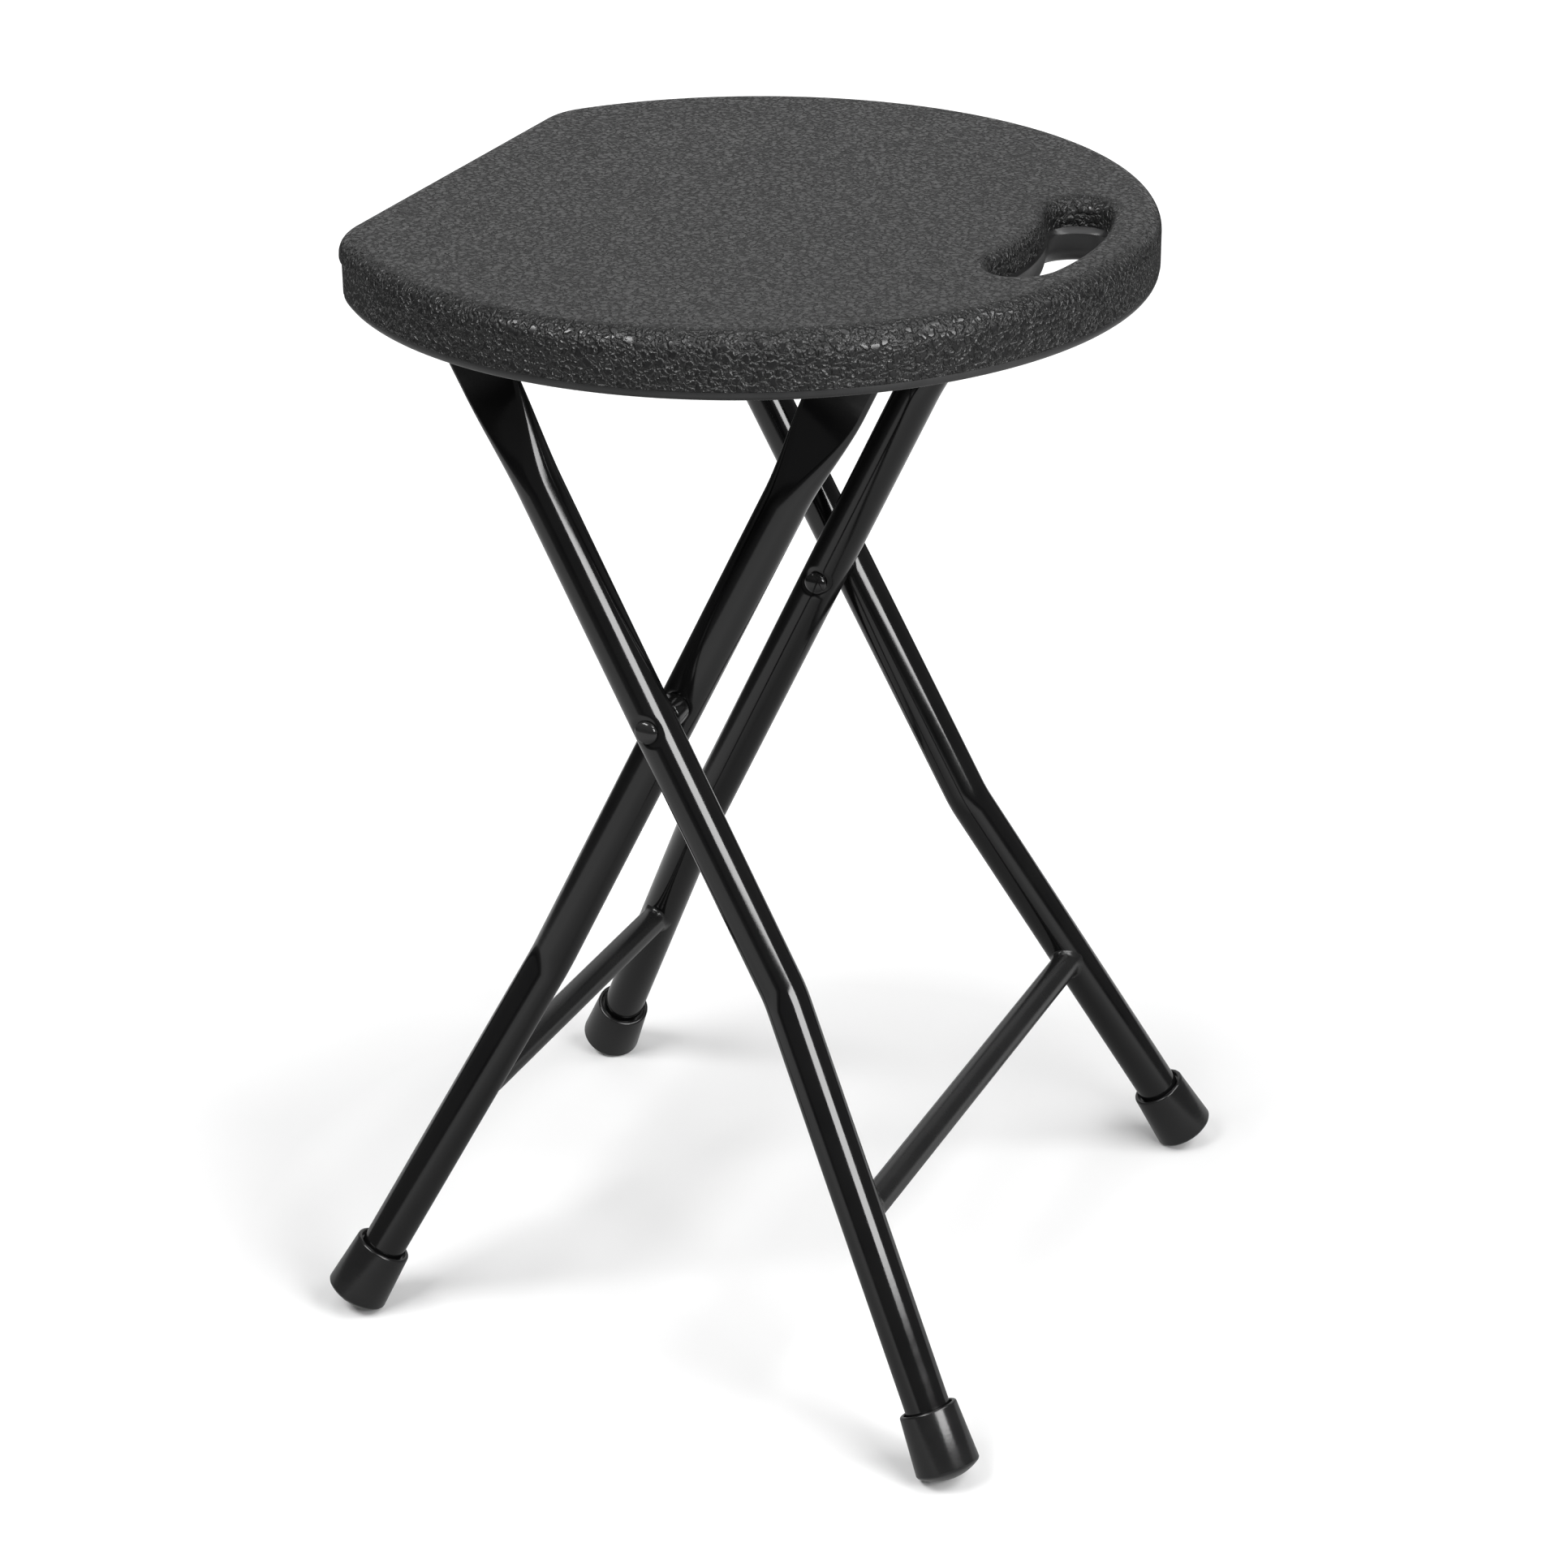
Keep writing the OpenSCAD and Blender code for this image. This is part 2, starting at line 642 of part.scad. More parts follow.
seat_shell();
hinge_bracket(front);  // hinge_bracket_front
hinge_bracket(rear);  // hinge_bracket_rear
rest_clip(front);  // rest_clip_front
rest_clip(rear);  // rest_clip_rear
bracket_screws();
clip_screws();
outer_leg(front);  // outer_leg_front
outer_leg(rear);  // outer_leg_rear
outer_rung();
hinge_rod();
hinge_cap(front);  // hinge_cap_front
hinge_cap(rear);  // hinge_cap_rear
inner_leg(front);  // inner_leg_front
inner_leg(rear);  // inner_leg_rear
inner_rung();
rest_rod();
rest_cap(front);  // rest_cap_front
rest_cap(rear);  // rest_cap_rear
pivot_rivet(front);  // pivot_rivet_front
pivot_rivet(rear);  // pivot_rivet_rear
pivot_spacer(front);  // pivot_spacer_front
pivot_spacer(rear);  // pivot_spacer_rear
outer_foot(front);  // outer_foot_front
outer_foot(rear);  // outer_foot_rear
inner_foot(front);  // inner_foot_front
inner_foot(rear);  // inner_foot_rear
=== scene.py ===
"""Looks of a folding camp stool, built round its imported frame.

Lengths are in metres, +Z is up and the stool stands on z = 0. The handle slot points to +X and the
flat edge to -X. The outer frame's top is at -X and its feet are at +X, and the inner frame is the
other way round.
"""

import json
import logging
import math
from abc import ABC, abstractmethod
from dataclasses import dataclass, field
from enum import Enum
from typing import Iterable, Sequence

import bmesh
import bpy
from mathutils import Matrix, Vector


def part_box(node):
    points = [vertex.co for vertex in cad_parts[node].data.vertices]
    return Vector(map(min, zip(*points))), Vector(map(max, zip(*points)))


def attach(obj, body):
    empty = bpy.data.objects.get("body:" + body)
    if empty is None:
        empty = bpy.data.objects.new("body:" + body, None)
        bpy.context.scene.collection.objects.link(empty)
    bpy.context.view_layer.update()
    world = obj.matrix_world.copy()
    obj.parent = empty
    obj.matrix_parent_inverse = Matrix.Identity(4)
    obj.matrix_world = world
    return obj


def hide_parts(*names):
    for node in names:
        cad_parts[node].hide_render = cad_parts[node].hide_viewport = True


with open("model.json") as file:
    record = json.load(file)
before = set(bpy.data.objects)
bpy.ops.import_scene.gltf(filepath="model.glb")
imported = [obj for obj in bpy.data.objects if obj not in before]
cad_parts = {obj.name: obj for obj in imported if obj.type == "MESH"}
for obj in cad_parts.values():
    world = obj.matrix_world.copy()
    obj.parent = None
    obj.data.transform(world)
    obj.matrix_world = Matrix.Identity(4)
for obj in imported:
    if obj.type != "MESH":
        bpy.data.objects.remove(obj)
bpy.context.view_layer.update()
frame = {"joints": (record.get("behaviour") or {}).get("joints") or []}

MM = 0.001
LOG = logging.getLogger("camp_stool")

Colour = tuple[float, float, float]
Point = tuple[float, float]


class Side(Enum):
    """The two halves of the stool, either side of its middle plane."""

    FRONT = -1
    REAR = 1

    @property
    def label(self) -> str:
        """The side's word in a node's name."""
        return self.name.lower()


class Body(Enum):
    """The rigid groups that move against each other."""

    OUTER = "outer_frame"
    INNER = "inner_frame"
    SEAT = "seat"


# --------------------------------------------------------------------------------------------------
# Finishes


class Wiring:
    """Adds nodes to one shader tree and joins them."""

    def __init__(self, tree: bpy.types.NodeTree) -> None:
        """Holds the tree.

        Args:
            tree: The material's or the group's node tree.
        """
        self.tree = tree

    def add(self, kind: str, inputs: dict[str, object] | None = None, **settings: object) -> bpy.types.Node:
        """Makes a node.

        Args:
            kind: The node's type name without its ShaderNode prefix.
            inputs: Values for its sockets, by name.
            **settings: Values for its own properties.

        Returns:
            The new node.
        """
        node = self.tree.nodes.new("ShaderNode" + kind)
        for name, value in settings.items():
            setattr(node, name, value)
        for name, value in (inputs or {}).items():
            node.inputs[name].default_value = value
        return node

    def join(self, source: bpy.types.NodeSocket, target: bpy.types.NodeSocket) -> None:
        """Links an output socket to an input socket."""
        self.tree.links.new(source, target)

    def math(self, operation: str, first: object, second: object) -> bpy.types.NodeSocket:
        """Adds a Math node.

        Args:
            operation: The Math node's operation.
            first: A socket or a number.
            second: A socket or a number.

        Returns:
            The result's socket.
        """
        node = self.add("Math", operation=operation)
        for slot, value in enumerate((first, second)):
            if isinstance(value, bpy.types.NodeSocket):
                self.join(value, node.inputs[slot])
            else:
                node.inputs[slot].default_value = value
        return node.outputs[0]

    def spread(self, value: bpy.types.NodeSocket, low: float, high: float, to_low: float,
               to_high: float) -> bpy.types.NodeSocket:
        """Maps a value from one range to another and holds it there.

        Args:
            value: The socket to map.
            low: The start of the range that it comes from.
            high: The end of that range.
            to_low: What low becomes.
            to_high: What high becomes.

        Returns:
            The mapped value's socket.
        """
        node = self.add("MapRange", {"From Min": low, "From Max": high, "To Min": to_low, "To Max": to_high})
        self.join(value, node.inputs["Value"])
        return node.outputs["Result"]


def new_group(name: str, inputs: dict[str, float], outputs: Sequence[str],
              ) -> tuple[bpy.types.NodeTree, Wiring, bpy.types.Node, bpy.types.Node]:
    """Starts a shader node group with named number sockets.

    Args:
        name: The group's name.
        inputs: Each input's name and default value.
        outputs: The outputs' names.

    Returns:
        The group's tree, its wiring, its input node and its output node.
    """
    tree = bpy.data.node_groups.new(name, "ShaderNodeTree")
    for label, value in inputs.items():
        socket = tree.interface.new_socket(label, in_out="INPUT", socket_type="NodeSocketFloat")
        socket.default_value = value
    for label in outputs:
        tree.interface.new_socket(label, in_out="OUTPUT", socket_type="NodeSocketFloat")
    return tree, Wiring(tree), tree.nodes.new("NodeGroupInput"), tree.nodes.new("NodeGroupOutput")


def coating_group() -> bpy.types.NodeTree:
    """Builds the group for fine unevenness of a coat or a moulded skin.

    Returns:
        A group with the inputs Ripple and Cloud, in patterns per metre, and the outputs Height and
        Haze, 0 to 1.
    """
    tree, wiring, start, end = new_group("coating", {"Ripple": 600.0, "Cloud": 40.0}, ("Height", "Haze"))
    place = wiring.add("TexCoord")
    ripple = wiring.add("TexNoise", {"Detail": 1.5, "Roughness": 0.4})
    cloud = wiring.add("TexNoise", {"Detail": 4.0, "Roughness": 0.6})
    for noise, label, output in ((ripple, "Ripple", "Height"), (cloud, "Cloud", "Haze")):
        wiring.join(place.outputs["Object"], noise.inputs["Vector"])
        wiring.join(start.outputs[label], noise.inputs["Scale"])
        wiring.join(noise.outputs["Fac"], end.inputs[output])
    return tree


HAZE_RANGE = (0.3, 0.7)
CREASE_WANDER = 4.0 * MM
WANDER_SCALE = 300.0
CREASE_FADE_SCALE = 420.0
CREASE_FADE_RANGE = (0.38, 0.5)
FAINTEST_CREASE = 0.45
CREASE_FLOOR = 0.02
CREASE_REACH = 0.24
CELL_HEIGHT = 0.9
SWELL_SCALE = 480.0
SWELL_HEIGHT = 0.05


def leather_group() -> bpy.types.NodeTree:
    """Builds the group for a moulded leather grain: narrow wandering creases between flat cells.

    Returns:
        A group with the input Cells, in cells per metre, and the outputs Height and Crease, 0 to 1.
    """
    tree, wiring, start, end = new_group("leather", {"Cells": 420.0}, ("Height", "Crease"))
    place = wiring.add("TexCoord")
    bend = wiring.add("TexNoise", {"Scale": WANDER_SCALE, "Detail": 2.0})
    wiring.join(place.outputs["Object"], bend.inputs["Vector"])
    centred = wiring.add("VectorMath", operation="SUBTRACT")
    centred.inputs[1].default_value = (0.5, 0.5, 0.5)
    wiring.join(bend.outputs["Color"], centred.inputs[0])
    pushed = wiring.add("VectorMath", operation="MULTIPLY_ADD")
    pushed.inputs[1].default_value = (CREASE_WANDER, CREASE_WANDER, CREASE_WANDER)
    wiring.join(centred.outputs[0], pushed.inputs[0])
    wiring.join(place.outputs["Object"], pushed.inputs[2])
    cells = wiring.add("TexVoronoi", feature="DISTANCE_TO_EDGE")
    wiring.join(pushed.outputs[0], cells.inputs["Vector"])
    wiring.join(start.outputs["Cells"], cells.inputs["Scale"])
    fade = wiring.add("TexNoise", {"Scale": CREASE_FADE_SCALE, "Detail": 1.0})
    wiring.join(place.outputs["Object"], fade.inputs["Vector"])
    kept = wiring.spread(fade.outputs["Fac"], *CREASE_FADE_RANGE, FAINTEST_CREASE, 1.0)
    groove = wiring.spread(cells.outputs["Distance"], CREASE_FLOOR, CREASE_REACH, 1.0, 0.0)
    crease = wiring.math("MULTIPLY", groove, kept)
    swell = wiring.add("TexNoise", {"Scale": SWELL_SCALE, "Detail": 1.5})
    wiring.join(place.outputs["Object"], swell.inputs["Vector"])
    cell_height = wiring.math("MULTIPLY", wiring.math("SUBTRACT", 1.0, crease), CELL_HEIGHT)
    swell_height = wiring.math("MULTIPLY", swell.outputs["Fac"], SWELL_HEIGHT)
    wiring.join(wiring.math("ADD", cell_height, swell_height), end.inputs["Height"])
    wiring.join(crease, end.inputs["Crease"])
    return tree


@dataclass(frozen=True)
class Finish(ABC):
    """A surface finish: the values that every material sets, and the nodes that its own texture adds."""

    name: str
    colour: Colour
    roughness: float
    specular: float = 0.5
    metallic: float = 0.0

    def build(self) -> bpy.types.Material:
        """Makes the material.

        Returns:
            A node material with its texture wired into one Principled BSDF.
        """
        material = bpy.data.materials.new(self.name)
        material.use_nodes = True
        material.diffuse_color = (*self.colour, 1.0)
        wiring = Wiring(material.node_tree)
        shader = material.node_tree.nodes["Principled BSDF"]
        shader.inputs["Base Color"].default_value = (*self.colour, 1.0)
        shader.inputs["Roughness"].default_value = self.roughness
        shader.inputs["Metallic"].default_value = self.metallic
        shader.inputs["Specular IOR Level"].default_value = self.specular
        self.texture(wiring, shader)
        return material

    @abstractmethod
    def texture(self, wiring: Wiring, shader: bpy.types.Node) -> None:
        """Adds the finish's own nodes.

        Args:
            wiring: The material's wiring.
            shader: The Principled BSDF that they feed.
        """

    def hazed(self, wiring: Wiring, coat: bpy.types.Node, below: float,
              above: float) -> bpy.types.NodeSocket:
        """Spreads a coating's haze round the finish's roughness.

        Args:
            wiring: The material's wiring.
            coat: The coating group's node.
            below: How much glossier the clearest places are.
            above: How much rougher the haziest places are.

        Returns:
            The roughness's socket.
        """
        low, high = self.roughness - below, self.roughness + above
        return wiring.spread(coat.outputs["Haze"], *HAZE_RANGE, low, high)

    def tint(self, wiring: Wiring, shader: bpy.types.Node, mask: bpy.types.NodeSocket,
             other: Colour) -> None:
        """Wires the base colour as a mix of the finish's own colour and another.

        Args:
            wiring: The material's wiring.
            shader: The Principled BSDF.
            mask: 0 for the finish's own colour, 1 for the other.
            other: The other colour.
        """
        mix = wiring.add("Mix", data_type="RGBA")
        mix.inputs["A"].default_value = (*self.colour, 1.0)
        mix.inputs["B"].default_value = (*other, 1.0)
        wiring.join(mask, mix.inputs["Factor"])
        wiring.join(mix.outputs["Result"], shader.inputs["Base Color"])

    def bump(self, wiring: Wiring, shader: bpy.types.Node, height: bpy.types.NodeSocket,
             depth: float) -> None:
        """Wires a height into the shader's normal.

        Args:
            wiring: The material's wiring.
            shader: The Principled BSDF.
            height: The height, 0 to 1.
            depth: How deep 1 is, in metres.
        """
        node = wiring.add("Bump", {"Strength": 1.0, "Distance": depth})
        wiring.join(height, node.inputs["Height"])
        wiring.join(node.outputs["Normal"], shader.inputs["Normal"])


@dataclass(frozen=True)
class Coated(Finish):
    """Powder coat, rubber or nylon: a plain colour with a fine ripple and slight haze in its gloss."""

    ripple: float = 600.0
    ripple_depth: float = 0.02 * MM
    haze: float = 0.05
    bloom: Colour = (0.03, 0.03, 0.03)
    bloom_range: tuple[float, float] = (0.35, 0.8)

    def texture(self, wiring: Wiring, shader: bpy.types.Node) -> None:
        """Wires the ripple into the normal, and the haze into the roughness and the colour."""
        coat = wiring.add("Group", node_tree=bpy.data.node_groups["coating"])
        coat.inputs["Ripple"].default_value = self.ripple
        wiring.join(self.hazed(wiring, coat, self.haze, self.haze), shader.inputs["Roughness"])
        clouds = wiring.spread(coat.outputs["Haze"], *self.bloom_range, 0.0, 1.0)
        self.tint(wiring, shader, clouds, self.bloom)
        self.bump(wiring, shader, coat.outputs["Height"], self.ripple_depth)


@dataclass(frozen=True)
class Grained(Finish):
    """Moulded plastic with a leather grain, its creases darkened by painted shade."""

    cells: float = 335.0
    grain_depth: float = 0.7 * MM
    haze: float = 0.015
    crease_dulling: float = 0.3
    # Colour painted into the grain's creases: painted shade where the grooves fall dark.
    painted_crease_shade: Colour = (0.01, 0.01, 0.01)

    def texture(self, wiring: Wiring, shader: bpy.types.Node) -> None:
        """Wires the grain into the normal, painted shade into the creases' colour, and the haze into the
        roughness.
        """
        grain = wiring.add("Group", node_tree=bpy.data.node_groups["leather"])
        grain.inputs["Cells"].default_value = self.cells
        coat = wiring.add("Group", node_tree=bpy.data.node_groups["coating"])
        rough = self.hazed(wiring, coat, self.haze, self.haze)
        dull = wiring.math("MULTIPLY", grain.outputs["Crease"], self.crease_dulling)
        wiring.join(wiring.math("ADD", rough, dull), shader.inputs["Roughness"])
        # Darkens the creases: painted shade in the grain's grooves.
        self.tint(wiring, shader, grain.outputs["Crease"], self.painted_crease_shade)
        self.bump(wiring, shader, grain.outputs["Height"], self.grain_depth)


@dataclass(frozen=True)
class Plated(Finish):
    """Zinc-plated steel: bright, with cloudy patches and a faint ripple."""

    ripple: float = 900.0
    cloud: float = 120.0
    ripple_depth: float = 0.01 * MM
    brightest: float = 0.1
    dullest: float = 0.12
    cloud_colour: Colour = (0.42, 0.41, 0.38)
    cloud_range: tuple[float, float] = (0.45, 0.75)

    def texture(self, wiring: Wiring, shader: bpy.types.Node) -> None:
        """Wires the clouds into the roughness and the colour, and the ripple into the normal."""
        coat = wiring.add("Group", node_tree=bpy.data.node_groups["coating"])
        coat.inputs["Ripple"].default_value = self.ripple
        coat.inputs["Cloud"].default_value = self.cloud
        rough = self.hazed(wiring, coat, self.brightest, self.dullest)
        wiring.join(rough, shader.inputs["Roughness"])
        clouds = wiring.spread(coat.outputs["Haze"], *self.cloud_range, 0.0, 1.0)
        self.tint(wiring, shader, clouds, self.cloud_colour)
        self.bump(wiring, shader, coat.outputs["Height"], self.ripple_depth)


class FinishName(Enum):
    """The stool's finishes, each with its values."""

    # The seat's creases take a near-black painted shade.
    SEAT = Grained("seat", (0.01, 0.01, 0.0102), 0.28, painted_crease_shade=(0.002, 0.002, 0.002))
    SEAT_SMOOTH = Coated("seat_smooth", (0.014, 0.014, 0.0144), 0.42, ripple=350.0, ripple_depth=0.06 * MM)
    LEG = Coated("leg", (0.004, 0.004, 0.0042), 0.12, ripple=420.0, ripple_depth=0.006 * MM,
                 haze=0.03, bloom=(0.006, 0.006, 0.006))
    RUNG = Coated("leg_rung", (0.008, 0.008, 0.0082), 0.27, ripple=420.0, ripple_depth=0.006 * MM,
                  haze=0.03, bloom=(0.01, 0.01, 0.01))
    BRACKET = Coated("bracket", (0.012, 0.012, 0.0125), 0.3, ripple=700.0)
    CLIP = Coated("clip", (0.018, 0.018, 0.018), 0.4, ripple=500.0)
    SCREW = Plated("screw", (0.5, 0.5, 0.51), 0.32, metallic=1.0)
    ROD = Plated("rod", (0.52, 0.52, 0.53), 0.28, metallic=1.0)
    ROD_CAP = Coated("rod_cap", (0.01, 0.01, 0.0105), 0.3, ripple=700.0)
    RIVET = Coated("rivet", (0.005, 0.005, 0.0053), 0.12, ripple=800.0, ripple_depth=0.01 * MM)
    SPACER = Coated("spacer", (0.005, 0.005, 0.005), 0.16, bloom=(0.008, 0.008, 0.008))
    FOOT = Coated("foot", (0.008, 0.008, 0.0082), 0.21, ripple=900.0, bloom=(0.014, 0.014, 0.014))


class Palette:
    """Builds each finish's material once and hands it out."""

    def __init__(self) -> None:
        """Builds the node groups and every material."""
        coating_group()
        leather_group()
        self.materials = {finish: finish.value.build() for finish in FinishName}

    def __getitem__(self, finish: FinishName) -> bpy.types.Material:
        """The material of a finish."""
        return self.materials[finish]


# --------------------------------------------------------------------------------------------------
# Mesh tools

ALONG_Y = Matrix.Rotation(-math.pi / 2, 4, "X")
SHARP_ANGLE = math.radians(38)
MERGE_DISTANCE = 0.001 * MM


def finish_piece(name: str, mesh: bmesh.types.BMesh, body: Body, finishes: Sequence[FinishName],
                 palette: Palette, nodes: Sequence[str]) -> None:
    """Turns a mesh into a piece of the stool.

    Args:
        name: The piece's name.
        mesh: Its mesh, in place and closed.
        body: The rigid group that it moves with.
        finishes: Its materials, in the order of the faces' material numbers.
        palette: Where the materials come from.
        nodes: The CAD nodes that it stands for.
    """
    mesh.normal_update()
    bmesh.ops.recalc_face_normals(mesh, faces=mesh.faces)
    if mesh.calc_volume(signed=True) < 0.0:
        bmesh.ops.reverse_faces(mesh, faces=mesh.faces)
    data = bpy.data.meshes.new(name)
    mesh.to_mesh(data)
    mesh.free()
    data.shade_smooth()
    data.set_sharp_from_angle(angle=SHARP_ANGLE)
    for finish in finishes:
        data.materials.append(palette[finish])
    piece = bpy.data.objects.new(name, data)
    bpy.context.scene.collection.objects.link(piece)
    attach(piece, body.value)
    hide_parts(*nodes)
    LOG.info("%s: %d faces on %s", name, len(data.polygons), body.value)


class Loft:
    """A skin drawn through rings of points, each ring extruded from the one before it."""

    def __init__(self, mesh: bmesh.types.BMesh, points: Sequence[Vector]) -> None:
        """Makes the first ring.

        Args:
            mesh: The mesh that the skin grows in.
            points: The first ring's points, in order.
        """
        self.mesh = mesh
        self.turn = mesh.verts.layers.int.get("turn") or mesh.verts.layers.int.new("turn")
        made = bmesh.ops.create_circle(mesh, cap_ends=False, radius=1.0, segments=len(points))
        self.ring = list(made["verts"])
        for turn, (vert, point) in enumerate(zip(self.ring, points)):
            vert[self.turn] = turn
            vert.co = point
        self.first = self.edges()

    def edges(self) -> list[bmesh.types.BMEdge]:
        """The edges round the last ring."""
        ring = set(self.ring)
        return [e for v in self.ring for e in v.link_edges if e.other_vert(v) in ring and e.verts[0] == v]

    def to(self, points: Sequence[Vector], material: int = 0) -> "Loft":
        """Extrudes the last ring to new points.

        Args:
            points: The new ring's points, in the same order.
            material: The new faces' material number.

        Returns:
            The loft itself.
        """
        made = bmesh.ops.extrude_edge_only(self.mesh, edges=self.edges())["geom"]
        self.ring = sorted((g for g in made if isinstance(g, bmesh.types.BMVert)), key=lambda v: v[self.turn])
        for vert, point in zip(self.ring, points):
            vert.co = point
        for face in (g for g in made if isinstance(g, bmesh.types.BMFace)):
            face.material_index = material
        return self

    def close(self, material: int = 0) -> None:
        """Fills the last ring with one face of the given material number."""
        bmesh.ops.contextual_create(self.mesh, geom=self.edges(), mat_nr=material)

    def close_first(self) -> None:
        """Fills the first ring with one face."""
        bmesh.ops.contextual_create(self.mesh, geom=self.first)


def turned(profile: Sequence[Point], place: Matrix, steps: int = 48) -> bmesh.types.BMesh:
    """Turns a profile about an axis, as on a lathe.

    Args:
        profile: Points of (radius, distance along the axis). A profile that starts and ends on the axis
            makes a closed skin, and any other is closed on itself.
        place: Where the profile goes: the axis is its Z.
        steps: Faces round the axis.

    Returns:
        The mesh, in place.
    """
    mesh = bmesh.new()
    verts = [mesh.verts.new((radius, 0.0, along)) for radius, along in profile]
    edges = [mesh.edges.new(pair) for pair in zip(verts, verts[1:])]
    if profile[0][0] > 0.0:
        edges.append(mesh.edges.new((verts[-1], verts[0])))
    bmesh.ops.spin(mesh, geom=verts + edges, axis=(0, 0, 1), cent=(0, 0, 0), dvec=(0, 0, 0), angle=math.tau,
                   steps=steps, use_merge=True)
    bmesh.ops.remove_doubles(mesh, verts=mesh.verts, dist=MERGE_DISTANCE)
    mesh.transform(place)
    return mesh


def arc(centre: Point, radius: float, start: float, end: float, steps: int) -> list[Point]:
    """Points along an arc in a plane.

    Args:
        centre: The arc's centre.
        radius: Its radius.
        start: Its first angle, in degrees.
        end: Its last angle, in degrees.
        steps: How many pieces it is cut into.

    Returns:
        The points, both ends included.
    """
    angles = (math.radians(start + (end - start) * i / steps) for i in range(steps + 1))
    return [(centre[0] + radius * math.cos(a), centre[1] + radius * math.sin(a)) for a in angles]


def smooth(share: float) -> float:
    """Eases a share of 0 to 1 in and out."""
    share = min(max(share, 0.0), 1.0)
    return share * share * (3.0 - 2.0 * share)


def slab(outline: Sequence[Point], low: float, high: float, edge: float, place: Matrix) -> bmesh.types.BMesh:
    """Makes a flat plate with softened edges.

    Args:
        outline: Its outline in the plate's own XY plane.
        low: Where it starts along the plate's Z.
        high: Where it ends along the plate's Z.
        edge: Radius of all its edges.
        place: Where the plate goes.

    Returns:
        The mesh, in place.
    """
    mesh = bmesh.new()
    face = mesh.faces.new([mesh.verts.new((x, y, low)) for x, y in outline])
    made = bmesh.ops.extrude_face_region(mesh, geom=[face])["geom"]
    far_face = [g for g in made if isinstance(g, bmesh.types.BMVert)]
    bmesh.ops.translate(mesh, verts=far_face, vec=(0, 0, high - low))
    bmesh.ops.recalc_face_normals(mesh, faces=mesh.faces)
    rims = [e for e in mesh.edges if e.calc_face_angle(0.0) > SHARP_ANGLE]
    bmesh.ops.bevel(mesh, geom=rims, offset=edge, offset_type="OFFSET", segments=2, profile=0.5, material=-1,
                    affect="EDGES", clamp_overlap=True)
    mesh.transform(place)
    return mesh


def rounded_box(size: tuple[float, float], corner: float, steps: int = 5) -> list[Point]:
    """Outline of a rectangle centred on the origin, with round corners.

    Args:
        size: Its width and height.
        corner: Radius of its corners.
        steps: Pieces in each corner.

    Returns:
        The outline's points.
    """
    half = (size[0] / 2 - corner, size[1] / 2 - corner)
    signs = ((1, 1), (-1, 1), (-1, -1), (1, -1))
    points: list[Point] = []
    for turn, (sx, sy) in enumerate(signs):
        points += arc((sx * half[0], sy * half[1]), corner, 90 * turn, 90 * turn + 90, steps)
    return points


def merged(meshes: Iterable[bmesh.types.BMesh]) -> bmesh.types.BMesh:
    """Puts several meshes into one and frees them.

    Args:
        meshes: The meshes.

    Returns:
        The one mesh.
    """
    whole = bmesh.new()
    for mesh in meshes:
        data = bpy.data.meshes.new("part")
        mesh.to_mesh(data)
        mesh.free()
        whole.from_mesh(data)
        bpy.data.meshes.remove(data)
    return whole


# --------------------------------------------------------------------------------------------------
# Where things are


@dataclass(frozen=True)
class Places:
    """Points and heights that several sub-assemblies share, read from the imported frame."""

    pivot: Vector
    hinge: Vector
    rest: Vector
    seat_low: float

    @property
    def pivot_axis(self) -> Vector:
        """Where the pivot's axis meets the middle plane."""
        return Vector((self.pivot.x, 0.0, self.pivot.z))

    @classmethod
    def read(cls) -> "Places":
        """Reads the joints and the nodes' boxes.

        Returns:
            The places at rest.
        """
        joints = {joint["name"]: Vector(joint["pos_m"]) for joint in frame["joints"]}
        rod_low, rod_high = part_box("rest_rod")
        return cls(pivot=joints["leg_pivot"], hinge=joints["seat_hinge"], rest=(rod_low + rod_high) / 2,
                   seat_low=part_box("seat_shell")[0].z)


def mirrored(side: Side) -> Matrix:
    """Turns a shape made on the rear side into the given side's."""
    return Matrix.Diagonal((1.0, float(side.value), 1.0, 1.0))


def facing_out(side: Side, at: Vector) -> Matrix:
    """Places a turned shape so that its axis points away from the middle plane.

    Args:
        side: Which side of the stool.
        at: Where the shape's origin goes on the rear side.

    Returns:
        The placing matrix.
    """
    return mirrored(side) @ Matrix.Translation(at) @ ALONG_Y


@dataclass(frozen=True)
class Span:
    """How far a turned piece reaches out from the middle plane, and its radius."""

    start: float
    end: float
    radius: float

    @classmethod
    def read(cls, node: str) -> "Span":
        """Reads the reach of a node whose axis runs across the stool.

        Args:
            node: The CAD node's name.

        Returns:
            The span.
        """
        low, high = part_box(node)
        start, end = sorted((abs(low.y), abs(high.y)))
        return cls(start, end, (high.z - low.z) / 2)


# --------------------------------------------------------------------------------------------------
# Legs


